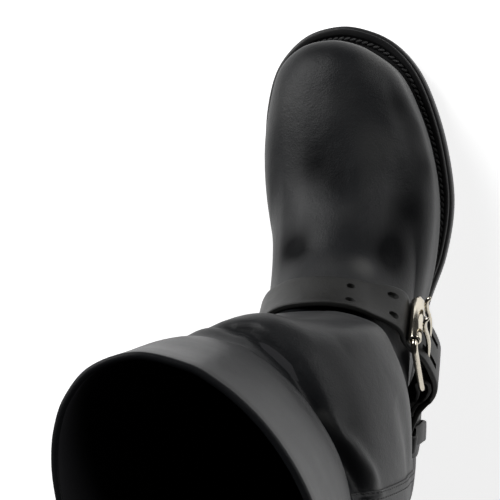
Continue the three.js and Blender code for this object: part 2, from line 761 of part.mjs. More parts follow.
// A round hole punched through the strap.
function strapHole(length, aside) {
  const [low, high] = [-2, strapThickness + 4];
  const ring = (height) =>
    Array.from({ length: 8 }, (_, i) => {
      const angle = (i * Math.PI) / 4;
      return harnessPoint(
        length + (holeDiameter / 2) * Math.cos(angle),
        aside + (holeDiameter / 2) * Math.sin(angle),
        height,
      );
    });
  return toSolid(loopMesh([ring(low), ring(high)], pairedCap));
}

const longSteps = 18;

// Path of the instep strap: along the upper, under the roller, out over the heel bar and back
// down into the keeper
const strapPath = [
  ...Array.from({ length: longSteps + 1 }, (_, i) => ({
    length: mix(strapStartAt, rollerLength - 14, i / longSteps),
    height: strapLow,
  })),
  ...smoothPath(
    [
      { length: rollerLength - 7, height: strapLow },
      { length: rollerLength, height: strapLow },
      { length: rollerLength + 6, height: mix(strapLow, strapHigh, 0.2) },
      { length: rollerLength + 12, height: mix(strapLow, strapHigh, 0.56) },
      { length: 0, height: mix(strapLow, strapHigh, 0.8) },
      { length: heelBarLength - 8, height: mix(strapLow, strapHigh, 0.97) },
      { length: heelBarLength, height: strapHigh },
      { length: heelBarLength + 8, height: mix(strapHigh, strapInKeeper, 0.3) },
      { length: chapeReturnAt + 2, height: mix(strapHigh, strapInKeeper, 0.75) },
      { length: keeperAt - 8, height: strapInKeeper },
      { length: keeperAt + keeperWidth / 2, height: strapInKeeper },
      { length: strapEndAt, height: strapInKeeper },
    ],
    5,
  ),
];
const endRound = strapWidth / 2;
strapPath.forEach((spot) => {
  const toEnd = clamp01((strapEndAt - spot.length) / endRound);
  spot.share = mix(0.45, 1, Math.sqrt(1 - (1 - toEnd) ** 2));
});

// Path of the buckle strap: from the heel under the keeper, round the buckle's heel bar and
// back over itself
const chapePath = [
  ...smoothPath(
    [
      { length: chapeEndAt, height: chapeLow },
      { length: keeperAt + 20, height: chapeLow },
      { length: keeperAt + 9, height: chapeLifted },
      { length: keeperAt - 9, height: chapeLifted },
      { length: chapeReturnAt - 4, height: mix(chapeLow, chapeLifted, 0.3) },
      { length: heelBarLength + 12, height: chapeLow },
      { length: heelBarLength + 3, height: chapeLow },
    ],
    6,
  ),
  ...Array.from({ length: 9 }, (_, i) => {
    const angle = -Math.PI / 2 - (i * Math.PI) / 8;
    return {
      length: heelBarLength + foldRadius * Math.cos(angle),
      height: heelBarHeight + foldRadius * Math.sin(angle),
    };
  }),
  ...smoothPath(
    [
      { length: heelBarLength + 4, height: chapeHigh - 0.3 },
      { length: heelBarLength + 10, height: mix(chapeHigh, chapeLow + chapeThickness + seamGap, 0.6) },
      { length: heelBarLength + 16, height: chapeLow + chapeThickness + seamGap + 0.3 },
      { length: chapeReturnAt, height: mix(chapeLow, chapeLifted, 0.5) + chapeThickness + seamGap },
    ],
    4,
  ),
];

// The two straps as solids, grown on all sides by the gap that other pieces keep from them.
const strapForm = (grow) => toSolid(stripMesh(strapPath, strapWidth + 2 * grow, strapThickness + 2 * grow));
const chapeForm = (grow) => toSolid(stripMesh(chapePath, strapWidth + 2 * grow, chapeThickness + 2 * grow));

// Instep strap: sewn down low on the inner side, laid over the instep, drawn under the roller
// and out over the heel bar, with its rounded end in the keeper
function makeInstepStrap() {
  let strap = strapForm(0).subtract(upperForm).subtract(chapeForm(layerGap));
  for (const side of prongSides) {
    strap = strap.subtract(harnessBlock(-6, 11.5, side, prongWire + 2 * metalGap));
    for (const length of holePairsAt) strap = strap.subtract(strapHole(length, side));
  }
  return fromSolid(strap);
}

// Buckle strap: sewn down at the heel on the outer side, run forward under the keeper and
// folded round the buckle's heel bar, with a slot for each prong
function makeBuckleStrap() {
  let strap = chapeForm(0).subtract(upperForm);
  for (const side of prongSides) {
    const slotFront = heelBarLength - foldRadius - chapeThickness;
    const slotBack = heelBarLength + foldRadius + prongWire;
    strap = strap.subtract(harnessBlock(slotFront, slotBack, side, prongWire + 2 * metalGap));
  }
  return fromSolid(strap);
}

// Keeper: a leather loop round the buckle strap and the instep strap's end
function makeKeeper() {
  const innerHalf = strapWidth / 2 + layerGap;
  const innerLow = chapeLifted - chapeThickness / 2 - layerGap;
  const innerHigh = strapInKeeper + strapThickness / 2 + 2 * layerGap;
  const corners = [
    [-1, 0, 0], [-0.5, 0, 0], [0, 0, 0], [0.5, 0, 0], [1, 0, 0],
    [1, 1, 0], [0.5, 1, 0], [0, 1, 0], [-0.5, 1, 0], [-1, 1, 0],
  ];
  const rings = corners.map(([side, top]) => {
    const atCorner = Math.abs(side) === 1;
    const inner = [side * innerHalf, top ? innerHigh : innerLow];
    const outer = [
      side * innerHalf + (atCorner ? side * keeperThickness * 0.8 : 0),
      inner[1] + (top ? keeperThickness : -keeperThickness - bedDepth),
    ];
    const [from, to] = [keeperAt - keeperWidth / 2, keeperAt + keeperWidth / 2];
    return [
      harnessPoint(from, inner[0], inner[1]),
      harnessPoint(to, inner[0], inner[1]),
      harnessPoint(to, outer[0], outer[1]),
      harnessPoint(from, outer[0], outer[1]),
    ];
  });
  const loop = toSolid(loopMesh(rings));
  return fromSolid(loop.subtract(upperForm));
}

// A round wire along a line of points that lies in a plane square to the buckle's bars.
const wireSides = 8;
function wireMesh(points, radius) {
  const rings = points.map((point, i) => {
    const before = points[Math.max(0, i - 1)];
    const after = points[Math.min(points.length - 1, i + 1)];
    const along = after.clone().sub(before).normalize();
    const up = along.clone().cross(buckleFrame.across).normalize();
    return Array.from({ length: wireSides }, (_, k) => {
      const angle = (2 * Math.PI * (k + 0.5)) / wireSides;
      return point
        .clone()
        .addScaledVector(buckleFrame.across, radius * Math.cos(angle))
        .addScaledVector(up, radius * Math.sin(angle));
    });
  });
  return loopMesh(rings, pairedCap);
}

// Buckle frame: one round wire bent to a rectangle with rounded corners, its front bar inside
// the roller and its heel bar in the fold of the buckle strap
const frameHalfWidth = strapWidth / 2 + frameClearance + buckleWire / 2;
const frameHeight = (length) => mix(rollerHeight, heelBarHeight, (length - rollerLength) / buckleLength);
function makeFrame() {
  const rings = [];
  const bend = buckleWire;
  const corners = [[1, 1], [-1, 1], [-1, -1], [1, -1]];
  corners.forEach(([sl, sw], c) => {
    const cl = sl * (buckleLength / 2 - bend);
    const cw = sw * (frameHalfWidth - bend);
    for (let i = 0; i <= 4; i += 1) {
      const angle = ((c * 90 + i * 22.5) * Math.PI) / 180;
      rings.push([cl + bend * Math.cos(angle), cw + bend * Math.sin(angle), angle]);
    }
  });
  return loopMesh(
    rings.map(([length, aside, angle]) =>
      Array.from({ length: wireSides }, (_, k) => {
        const round = (2 * Math.PI * (k + 0.5)) / wireSides;
        const outwards = (buckleWire / 2) * Math.cos(round);
        const up = (buckleWire / 2) * Math.sin(round);
        return flatPoint(
          length + outwards * Math.cos(angle),
          aside + outwards * Math.sin(angle),
          frameHeight(length) + up,
        );
      }),
    ),
  );
}

// Roller: a metal tube that turns on the frame's front bar
function makeRoller() {
  const half = strapWidth / 2 + frameClearance - buckleWire / 2;
  const bore = buckleWire / 2 + metalGap;
  const ring = (aside, radius) =>
    Array.from({ length: 16 }, (_, k) => {
      const angle = (k * Math.PI) / 8;
      return flatPoint(
        rollerLength + radius * Math.cos(angle),
        aside,
        rollerHeight + radius * Math.sin(angle),
      );
    });
  return loopMesh([ring(-half, bore), ring(-half, rollerRadius), ring(half, rollerRadius), ring(half, bore)]);
}

// Prong: a wire hooked round the heel bar, up through the strap's hole and over the roller,
// with its tip bent outwards
function makeProng(side) {
  const eye = buckleWire / 2 + metalGap + prongWire / 2;
  const hook = [-60, -30, 0, 30, 60, 90].map((degrees) => {
    const angle = THREE.MathUtils.degToRad(degrees);
    return [heelBarLength + eye * Math.cos(angle), heelBarHeight + eye * Math.sin(angle)];
  });
  const rest = rollerHeight + rollerRadius + prongWire / 2 + metalGap;
  const tongue = [
    [heelBarLength - 5, heelBarHeight + eye],
    [heelBarLength - 11, heelBarHeight + eye + 0.4],
    [1, heelBarHeight + eye + 1.9],
    [-7, rest - 0.4],
    [rollerLength + 5, rest + 0.2],
    [rollerLength, rest + 0.1],
    [rollerLength - 5, rest + 0.6],
    [rollerLength - 8, rest + 2],
    [rollerLength - 9.5, rest + 4],
  ];
  const line = new THREE.CatmullRomCurve3(
    [...hook, ...tongue].map(([length, height]) => flatPoint(length, side, height)),
    false,
    "centripetal",
  );
  return wireMesh(line.getSpacedPoints(20), prongWire / 2);
}

// Side seam: the raised strip over the joint of the shaft's front and back
function makeSideSeam(around) {
  const rows = [...upperLevels.filter((level) => level >= seamFromRow), seamToRow].sort((a, b) => a - b);
  const rings = rows.filter((row) => row <= seamToRow).map((row) => {
    const v = row / (rowCount - 1);
    const here = smoothPoint(around, v);
    const beside = smoothPoint(around + 1e-3, v);
    const half = ((seamStripWidth / 2) * 1e-3) / here.distanceTo(beside);
    const high = seamGap + seamStripThickness;
    return [
      upperPoint(around - half, v, -bedDepth),
      upperPoint(around + half, v, -bedDepth),
      upperPoint(around + half, v, high),
      upperPoint(around - half, v, high),
    ];
  });
  return fromSolid(toSolid(loopMesh(rings, pairedCap)).subtract(upperForm));
}

const parts = new THREE.Group();
function addPart(name, geometry, material) {
  const mesh = new THREE.Mesh(geometry, material);
  mesh.name = name;
  parts.add(mesh);
}

const blackLeather = new THREE.MeshStandardMaterial({ color: 0x1b1b1c, roughness: 0.5, metalness: 0 });
const soleRubber = new THREE.MeshStandardMaterial({ color: 0x161617, roughness: 0.75, metalness: 0 });
const weltLeather = new THREE.MeshStandardMaterial({ color: 0x1e1d1d, roughness: 0.6, metalness: 0 });
const paleMetal = new THREE.MeshStandardMaterial({ color: 0xd8cdb4, roughness: 0.25, metalness: 1 });
const insoleLeather = new THREE.MeshStandardMaterial({ color: 0x2a2522, roughness: 0.7, metalness: 0 });

addPart("outsole", makeOutsole(), soleRubber);
addPart("heel", makeHeel(), soleRubber);
addPart("welt", makeWelt(), weltLeather);
addPart("insole", makeInsole(), insoleLeather);
addPart("upper", makeUpper(), blackLeather);
addPart("side_seam_outer", makeSideSeam(seamAround.outer), blackLeather);
addPart("side_seam_inner", makeSideSeam(seamAround.inner), blackLeather);
addPart("instep_strap", makeInstepStrap(), blackLeather);
addPart("buckle_strap", makeBuckleStrap(), blackLeather);
addPart("strap_keeper", makeKeeper(), blackLeather);
addPart("buckle_frame", makeFrame(), paleMetal);
addPart("buckle_roller", makeRoller(), paleMetal);
addPart("buckle_prong_lower", makeProng(prongSides[0]), paleMetal);
addPart("buckle_prong_upper", makeProng(prongSides[1]), paleMetal);

export default parts;
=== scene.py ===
import math

import bpy
import numpy as np
from mathutils import Matrix, Vector


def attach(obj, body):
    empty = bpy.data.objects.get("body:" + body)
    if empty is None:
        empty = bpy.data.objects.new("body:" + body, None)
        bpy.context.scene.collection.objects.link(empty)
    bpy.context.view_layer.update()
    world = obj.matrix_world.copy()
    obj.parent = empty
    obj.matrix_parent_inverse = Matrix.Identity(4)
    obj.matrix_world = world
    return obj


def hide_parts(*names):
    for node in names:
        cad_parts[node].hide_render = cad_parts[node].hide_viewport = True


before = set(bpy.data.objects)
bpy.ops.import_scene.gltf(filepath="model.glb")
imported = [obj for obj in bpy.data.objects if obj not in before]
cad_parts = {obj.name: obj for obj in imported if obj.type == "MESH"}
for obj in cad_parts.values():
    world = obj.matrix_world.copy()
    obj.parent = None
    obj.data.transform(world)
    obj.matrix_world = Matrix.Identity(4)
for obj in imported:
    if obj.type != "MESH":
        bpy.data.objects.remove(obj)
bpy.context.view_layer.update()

# Outsole. One plate of black rubber, moulded with a flat tread under the ball, a rise to the
# toe and a bent shank, then cemented under the welt. Its trimmed edge is proud of the welt and
# has a fine line round it where the two layers of the plate meet.
# Rows of the sole's outline: along from the heel, across, direction of the shaft's matching
# point in degrees, and width of the welt there as a share.
OUTLINE = np.array([
    (0.998, -0.07, 0, 1.85), (0.99, 0.085, 12, 1.85), (0.964, 0.228, 24, 1.8), (0.912, 0.352, 36, 1.44),
    (0.837, 0.44, 47, 1.29), (0.747, 0.502, 58, 1.14), (0.65, 0.53, 69, 1.04), (0.551, 0.491, 81, 0.69),
    (0.446, 0.4, 94, 0.15), (0.33, 0.35, 108, 0.25), (0.222, 0.343, 122, 0.5), (0.122, 0.345, 137, 0.6),
    (0.04, 0.292, 153, 0.6), (-0.008, 0.125, 171, 0.6), (-0.008, -0.125, 189, 0.6), (0.04, -0.29, 207, 0.6),
    (0.122, -0.34, 223, 0.6), (0.222, -0.328, 238, 0.6), (0.33, -0.296, 252, 0.7), (0.446, -0.303, 266, 0.85),
    (0.555, -0.382, 279, 1.06), (0.657, -0.452, 291, 1.22), (0.753, -0.481, 302, 1.42), (0.844, -0.465, 313, 1.61),
    (0.922, -0.398, 326, 1.6), (0.978, -0.252, 342, 1.75),
])
ALONG, ACROSS, TURN, LEDGE = OUTLINE.T
SOLE_LENGTH, BALL_WIDTH, WELT_LEDGE = 284.0, 105.0, 7.0
HEEL_BACK = -0.117 * SOLE_LENGTH
TOE_TIP = HEEL_BACK + SOLE_LENGTH
HEEL_HEIGHT, HEEL_LENGTH, TOE_SPRING = 38.0, 62.0, 9.0
OUTSOLE, WELT, SEAM_GAP = 11.0, 4.5, 0.4
SOLE_PAIRS = 150


def smooth(t):
    """The rise 3 t squared less 2 t cubed, held between 0 and 1."""
    t = np.clip(t, 0, 1)
    return t * t * (3 - 2 * t)


def mix(a, b, t):
    """a plus t times the way from a to b."""
    return a + (b - a) * t


def through_weights(t):
    """The four cubic weights of a curve that passes through its points, at t between two."""
    return np.array([
        -t ** 3 + 2 * t ** 2 - t,
        3 * t ** 3 - 5 * t ** 2 + 2,
        -3 * t ** 3 + 4 * t ** 2 + t,
        t ** 3 - t ** 2,
    ]) / 2


def closed_curve(points, u):
    """A closed curve through points, at shares u of the way round: four neighbours weighed."""
    place = (u % 1) * len(points)
    first = np.floor(place).astype(int)
    weights = through_weights(place - first)
    return sum(weights[k][..., None] * points[(first + k - 1) % len(points)] for k in range(4))


def underside(y):
    """Height of the tread: flat at the ball, a power curve to the toe, a cosine up the shank."""
    flat_start, flat_end = HEEL_BACK + 0.55 * SOLE_LENGTH, HEEL_BACK + 0.7 * SOLE_LENGTH
    toe = TOE_SPRING * (np.clip(y - flat_end, 0, None) / (TOE_TIP - flat_end)) ** 1.8
    into = np.clip((flat_start - y) / (flat_start - HEEL_BACK - HEEL_LENGTH), 0, 1)
    return toe + (HEEL_HEIGHT - OUTSOLE) * (1 - np.cos(np.pi * into)) / 2


def welt_top(y):
    """Height of the welt's upper face: the tread plus the outsole, the gap and the welt."""
    return underside(y) + OUTSOLE + SEAM_GAP + WELT


def outline_ring(inset):
    """The outline's control points, each moved inwards square to its neighbours' chord."""
    flat = np.stack([ACROSS * BALL_WIDTH, HEEL_BACK + ALONG * SOLE_LENGTH], 1)
    chord = np.roll(flat, -1, 0) - np.roll(flat, 1, 0)
    chord /= np.linalg.norm(chord, axis=1, keepdims=True)
    inset = np.broadcast_to(inset, len(flat))
    return flat + np.stack([chord[:, 1], -chord[:, 0]], 1) * inset[:, None]


def paired_ring(inset, pairs=SOLE_PAIRS):
    """The moved outline as a ring from the toe tip, with points that face across the foot."""
    dense = closed_curve(outline_ring(inset), np.arange(2000) / 2000)
    dense = np.roll(dense, -np.argmax(dense[:, 1]), 0)
    heel = np.argmin(dense[:, 1])
    outer, inner = dense[:heel + 1], np.vstack([dense[heel:], dense[:1]])[::-1]
    share = (1 - np.cos(np.pi * np.arange(1, pairs) / pairs)) / 2
    y = mix(dense[0, 1], dense[heel, 1], share)
    right = np.stack([np.interp(-y, -outer[:, 1], outer[:, 0]), y], 1)
    left = np.stack([np.interp(-y, -inner[:, 1], inner[:, 0]), y], 1)
    return np.vstack([dense[:1], right, dense[heel:heel + 1], left[::-1]])


def sole_ring(inset, height, pairs=SOLE_PAIRS):
    """A paired ring lifted to the height worked out from the place along the foot."""
    ring = paired_ring(inset, pairs)
    return np.column_stack([ring, height(ring[:, 1])])


def surface(name, rows, wrap=False, cap="facing"):
    """A closed mesh over rows of loops, in millimetres: quads between rows, then the ends as
    strips between facing points, or one flat face; its faces are turned out by the volume."""
    rows = np.asarray(rows, float)
    count, size = rows.shape[:2]
    i, j = np.meshgrid(np.arange(count if wrap else count - 1), np.arange(size), indexing="ij")
    beside, above = (j + 1) % size, (i + 1) % count
    quads = np.stack([i * size + j, i * size + beside, above * size + beside, above * size + j], -1)
    faces = quads.reshape(-1, 4)
    points = rows.reshape(-1, 3)
    corners = points[faces]
    volume = np.einsum("ij,ij->", corners[:, 0], np.cross(corners[:, 1], corners[:, 2]))
    volume += np.einsum("ij,ij->", corners[:, 0], np.cross(corners[:, 2], corners[:, 3]))
    faces = faces.tolist()
    if not wrap:
        start, end = np.arange(size), (count - 1) * size + np.arange(size)
        for loop, back in ((start, True), (end, False)):
            if cap == "flat":
                caps = [loop.tolist()]
            elif cap == "tip":
                half = size // 2
                caps = [[loop[0], loop[1], loop[-1]], [loop[half - 1], loop[half], loop[half + 1]]]
                caps += [[loop[k], loop[k + 1], loop[size - k - 1], loop[size - k]] for k in range(1, half - 1)]
            else:
                caps = [[loop[k], loop[k + 1], loop[size - 2 - k], loop[size - 1 - k]]
                        for k in range(size // 2 - 1)]
            for face in caps:
                face = [int(corner) for corner in face]
                faces.append(face[::-1] if back else face)
    if volume < 0:
        faces = [face[::-1] for face in faces]
    mesh = bpy.data.meshes.new(name)
    mesh.from_pydata((points * 0.001).tolist(), [], faces)
    mesh.validate()
    piece = bpy.data.objects.new(name, mesh)
    bpy.context.collection.objects.link(piece)
    return piece


def dress(piece, material, replaced=(), sharp_deg=40.0):
    """Smooths a piece up to an angle, gives it its material and ties it to the boot."""
    mesh = piece.data
    mesh.shade_smooth()
    mesh.set_sharp_from_angle(angle=math.radians(sharp_deg))
    if not mesh.materials:
        mesh.materials.append(material)
    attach(piece, "root")
    if replaced:
        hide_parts(*replaced)


def linear(hex_colour):
    """An sRGB hex value as linear red, green, blue and alpha, by the sRGB curve."""
    values = np.array([int(hex_colour[k:k + 2], 16) for k in (1, 3, 5)]) / 255
    low, high = values / 12.92, ((values + 0.055) / 1.055) ** 2.4
    return (*np.where(values <= 0.04045, low, high).tolist(), 1.0)


def add(material, kind, inputs=(), **settings):
    """Adds a node of a kind with its settings; inputs are sockets to link or plain values."""
    tree = material.node_tree
    node = tree.nodes.new(kind)
    for key, value in settings.items():
        setattr(node, key, value)
    for key, value in dict(inputs).items():
        if isinstance(value, bpy.types.NodeSocket):
            tree.links.new(value, node.inputs[key])
        else:
            node.inputs[key].default_value = value
    return node


def new_material(name):
    """An empty node material with its output and principled shader."""
    material = bpy.data.materials.new(name)
    material.use_nodes = True
    return material, material.node_tree.nodes["Principled BSDF"]


def rubber(name, colour, light, roughness):
    """Moulded black rubber: two near blacks by a soft noise, fine mould grit in the bump."""
    material, shader = new_material(name)
    place = add(material, "ShaderNodeTexCoord").outputs["Object"]
    cloud = add(material, "ShaderNodeTexNoise", {"Vector": place, "Scale": 45.0, "Detail": 4.0})
    shade = add(material, "ShaderNodeMix", {"Factor": cloud.outputs["Fac"], 6: linear(colour), 7: linear(light)},
                data_type="RGBA")
    grit = add(material, "ShaderNodeTexNoise", {"Vector": place, "Scale": 1800.0, "Detail": 3.0})
    bump = add(material, "ShaderNodeBump", {"Height": grit.outputs["Fac"], "Distance": 0.00012, "Strength": 0.5})
    tree = material.node_tree
    tree.links.new(shade.outputs[2], shader.inputs["Base Color"])
    tree.links.new(bump.outputs["Normal"], shader.inputs["Normal"])
    shader.inputs["Roughness"].default_value = roughness
    return material


# Rubber of the tread and the heel: dull black, a little greyer where it has been handled.
sole_rubber = rubber("moulded_sole_rubber", "#101011", "#18181A", 0.5)
edge_steps = [
    (2.2, 0.0), (1.2, 0.25), (0.4, 0.9), (0.0, 2.0), (0.0, 6.4), (0.45, 6.7), (0.45, 7.1), (0.0, 7.4),
    (-0.15, 8.2), (0.0, 10.2), (0.5, 10.8), (1.2, 11.0),
]
outsole = surface(
    "rubber_outsole",
    [sole_ring(inset, lambda y, up=up: underside(y) + up) for inset, up in edge_steps],
    cap="tip",
)
dress(outsole, sole_rubber, ["outsole"])

# Heel. A block of stacked leather lifts, ground flush and blacked, with a rubber top piece
# nailed under it. Its front is hollowed towards the instep; thin lines part the lifts.
TOP_PIECE, HEEL_TAPER = 7.0, 2.5
HEEL_TOP = HEEL_HEIGHT - OUTSOLE - SEAM_GAP
BREAST_HOLLOW, BREAST_CLEAR, BREAST_STEPS = 6.0, 3.0, 24


def heel_ring(inset, z):
    """The outline behind the breast, closed by a parabola hollowed towards the heel."""
    ring = paired_ring(inset)
    ring = ring[ring[:, 1] < HEEL_BACK + HEEL_LENGTH - BREAST_CLEAR]
    share = np.linspace(0, 1, BREAST_STEPS + 1)
    breast_y = HEEL_BACK + HEEL_LENGTH - BREAST_HOLLOW * (1 - (2 * share - 1) ** 2)
    breast = np.stack([mix(ring[-1, 0], ring[0, 0], share), breast_y], 1)
    flat = np.vstack([breast, ring])
    return np.column_stack([flat, np.full(len(flat), z)])


def even_ring(ring, count=240):
    """A closed ring with its points spread evenly along it."""
    closed = np.vstack([ring, ring[:1]])
    run = np.r_[0, np.cumsum(np.linalg.norm(np.diff(closed, axis=0), axis=1))]
    place = np.linspace(0, run[-1], count, endpoint=False)
    return np.stack([np.interp(place, run, closed[:, axis]) for axis in range(3)], 1)


lift_lines = [TOP_PIECE, 12.0, 16.8, 21.6]
heel_steps = [(HEEL_TAPER + 1.0, 0.0), (HEEL_TAPER + 0.3, 0.3), (HEEL_TAPER, 1.0)]
for line in lift_lines:
    side = HEEL_TAPER * (1 - line / HEEL_TOP) + (0.8 if line > TOP_PIECE else 0.4)
    heel_steps += [(side, line - 0.45), (side + 0.5, line - 0.15), (side + 0.5, line + 0.15), (side, line + 0.45)]
heel_steps += [(0.9, HEEL_TOP - 0.3), (1.3, HEEL_TOP)]
heel = surface("stacked_heel", [even_ring(heel_ring(inset, z)) for inset, z in heel_steps], cap="flat")
dress(heel, sole_rubber, ["heel"])

# Welt. A strip of black leather sewn round the foot between the upper and the outsole. A
# trough beside the upper holds the lockstitch, and its trimmed edge is set back from the rubber.
WELT_INSET, WALL, WELT_GRIP = 1.6, 2.4, 3.0
welt_inside = LEDGE * WELT_LEDGE + WALL + WELT_GRIP
shown = LEDGE * WELT_LEDGE - WELT_INSET


def welt_row(share, up):
    """A ring along the groove, that many half widths inwards of its middle, and off the top."""
    return sole_ring(WELT_INSET + shown * (GROOVE_MIDDLE + GROOVE_HALF * share), lambda y: welt_top(y) + up)


# The groove's middle and half width as shares of the ledge; it lies further out at the toe.
GROOVE_MIDDLE = 0.6 - 0.12 * smooth((ALONG - 0.8) / 0.15)
GROOVE_HALF, GROOVE_DEEP = 0.17, 1.2
welt_rows = [
    sole_ring(WELT_INSET + 0.2, lambda y: welt_top(y) - WELT),
    sole_ring(WELT_INSET, lambda y: welt_top(y) - WELT + 0.5),
    sole_ring(WELT_INSET, lambda y: welt_top(y) - 0.8),
    sole_ring(WELT_INSET + 0.25, lambda y: welt_top(y) - 0.25),
    sole_ring(WELT_INSET + 0.8, lambda y: welt_top(y) + 0.0),
    welt_row(-1.25, 0.05),
    welt_row(-1.0, -0.1),
    welt_row(-0.8, -0.7 * GROOVE_DEEP),
    welt_row(-0.4, -GROOVE_DEEP),
    welt_row(0.4, -GROOVE_DEEP),
    welt_row(0.8, -0.7 * GROOVE_DEEP),
    welt_row(1.0, -0.1),
    welt_row(1.25, 0.0),
    sole_ring(welt_inside, welt_top),
    sole_ring(welt_inside, lambda y: welt_top(y) - WELT),
]
welt = surface("stitched_welt", welt_rows, wrap=True)


def leather(name, dark, mid, pale, roughness, grain_mm, grain_up_mm, marks=True):
    """Smooth black leather: a broad cloudy tone between two greys, darkened or paled by the
    attribute tone, which holds the leather's own blotches together with painted shade and painted highlights, with a
    pebbled grain in cells, finer pores and soft ripples in the bump."""
    material, shader = new_material(name)
    tree = material.node_tree
    place = add(material, "ShaderNodeTexCoord").outputs["Object"]
    cloud = add(material, "ShaderNodeTexNoise", {"Vector": place, "Scale": 22.0, "Detail": 5.0, "Roughness": 0.55})
    base = add(material, "ShaderNodeMix", {"Factor": cloud.outputs["Fac"], 6: linear(dark), 7: linear(mid)},
               data_type="RGBA").outputs[2]
    gloss = add(material, "ShaderNodeMapRange", {"Value": cloud.outputs["Fac"], "From Min": 0.3, "From Max": 0.7,
                                                 "To Min": roughness - 0.05, "To Max": roughness + 0.05})
    gloss = gloss.outputs["Result"]
    sheen = add(material, "ShaderNodeMapRange", {"Value": cloud.outputs["Fac"], "To Min": 0.2, "To Max": 0.3})
    sheen = sheen.outputs["Result"]
    # With marks, the colour is drawn towards near black for dark blotches and painted shade, and towards the pale
    # grey for paler patches and painted highlights; the specular level follows them.
    if marks:
        tone_and_painted_light = add(material, "ShaderNodeAttribute", attribute_name="tone_and_painted_light").outputs["Fac"]
        paler_and_highlight_share = add(material, "ShaderNodeMath", {0: tone_and_painted_light, 1: 0.0}, operation="MAXIMUM").outputs[0]
        darker_and_shade_share = add(material, "ShaderNodeMath", {0: tone_and_painted_light, 1: -1.0}, operation="MULTIPLY")
        darker_and_shade_share = add(material, "ShaderNodeClamp", {"Value": darker_and_shade_share.outputs[0]}).outputs[0]
        base = add(material, "ShaderNodeMix", {"Factor": paler_and_highlight_share, 6: base, 7: linear(pale)},
                   data_type="RGBA").outputs[2]
        base = add(material, "ShaderNodeMix", {"Factor": darker_and_shade_share, 6: base, 7: linear("#060709")},
                   data_type="RGBA").outputs[2]
        gloss = add(material, "ShaderNodeMath", {0: paler_and_highlight_share, 1: 0.1, 2: gloss},
                    operation="MULTIPLY_ADD").outputs[0]
        sheen = add(material, "ShaderNodeMath", {0: paler_and_highlight_share, 1: 0.35, 2: sheen},
                    operation="MULTIPLY_ADD").outputs[0]
        sheen = add(material, "ShaderNodeMath", {0: darker_and_shade_share, 1: -0.2, 2: sheen},
                    operation="MULTIPLY_ADD").outputs[0]
    cells = add(material, "ShaderNodeTexVoronoi", {"Vector": place, "Scale": 1000.0 / grain_mm},
                feature="SMOOTH_F1")
    pores = add(material, "ShaderNodeTexNoise", {"Vector": place, "Scale": 2600.0 / grain_mm, "Detail": 2.0})
    ripple = add(material, "ShaderNodeTexNoise", {"Vector": place, "Scale": 95.0, "Detail": 3.0})
    grain = add(material, "ShaderNodeBump", {"Height": cells.outputs["Distance"], "Strength": 1.0,
                                             "Distance": grain_up_mm * 0.001})
    fine = add(material, "ShaderNodeBump", {"Height": pores.outputs["Fac"], "Strength": 1.0,
                                            "Distance": 0.00005, "Normal": grain.outputs["Normal"]})
    soft = add(material, "ShaderNodeBump", {"Height": ripple.outputs["Fac"], "Strength": 1.0,
                                            "Distance": 0.0003, "Normal": fine.outputs["Normal"]})
    tree.links.new(base, shader.inputs["Base Color"])
    tree.links.new(gloss, shader.inputs["Roughness"])
    tree.links.new(soft.outputs["Normal"], shader.inputs["Normal"])
    tree.links.new(sheen, shader.inputs["Specular IOR Level"])
    shader.inputs["IOR"].default_value = 1.5
    return material


# Welt leather: dyed black and waxed at the edge, duller than the upper.
welt_leather = leather("black_welt_leather", "#0E0E0F", "#161617", "#202020", 0.5, 0.8, 0.05, marks=False)
dress(welt, welt_leather, ["welt"], 50.0)

# Welt stitching. Thick waxed thread laid in the trough as a chain of short leaning stitches.
STITCH_PITCH, STITCH_LONG, STITCH_WIDE, STITCH_HIGH = 3.4, 4.0, 1.9, 1.3


def bead_chain(name, centres, along, across, up, lengths, widths, heights):
    """One mesh of many small beads: each is a ball stretched on its three directions."""
    theta, phi = np.meshgrid(np.arange(8) * np.pi / 4, np.linspace(0, np.pi, 6)[1:-1], indexing="ij")
    ball = np.stack([np.cos(phi), np.sin(phi) * np.cos(theta), np.sin(phi) * np.sin(theta)], -1)
    ball = np.vstack([ball.reshape(-1, 3), [[1, 0, 0], [-1, 0, 0]]])
    faces = []
    for t in range(8):
        a, b = t * 4, ((t + 1) % 8) * 4
        faces += [[a + k, a + k + 1, b + k + 1, b + k] for k in range(3)]
        faces += [[32, a, b], [33, b + 3, a + 3]]
    faces = [face + [face[0]] if len(face) == 3 else face for face in faces]
    sizes = np.stack([lengths, widths, heights], 1) / 2
    frames = np.stack([along, across, up], 1)
    points = centres[:, None] + np.einsum("pk,nk,nkc->npc", ball, sizes, frames)
    many = (np.array(faces)[None] + (np.arange(len(centres)) * 34)[:, None, None]).reshape(-1, 4)
    mesh = bpy.data.meshes.new(name)
    mesh.from_pydata((points.reshape(-1, 3) * 0.001).tolist(), [],
                     [list(dict.fromkeys(face)) for face in many.tolist()])
    piece = bpy.data.objects.new(name, mesh)
    bpy.context.collection.objects.link(piece)
    return piece


def stitch_frames(line, pitch, up=(0, 0, 1)):
    """Even places along a line with their directions: along, across and up."""
    run = np.r_[0, np.cumsum(np.linalg.norm(np.diff(line, axis=0), axis=1))]
    place = np.arange(pitch / 2, run[-1], pitch)
    centres = np.stack([np.interp(place, run, line[:, axis]) for axis in range(3)], 1)
    ahead = np.stack([np.interp(place + 0.5, run, line[:, axis]) for axis in range(3)], 1)
    behind = np.stack([np.interp(place - 0.5, run, line[:, axis]) for axis in range(3)], 1)
    along = ahead - behind
    along /= np.linalg.norm(along, axis=1, keepdims=True)
    up = np.broadcast_to(np.array(up, float), along.shape)
    across = np.cross(up, along)
    across /= np.linalg.norm(across, axis=1, keepdims=True)
    return centres, along, across, np.cross(along, across)


def lean(along, across, degrees):
    """Turns a pair of directions in their own plane."""
    angle = math.radians(degrees)
    return (along * math.cos(angle) + across * math.sin(angle),
            across * math.cos(angle) - along * math.sin(angle))


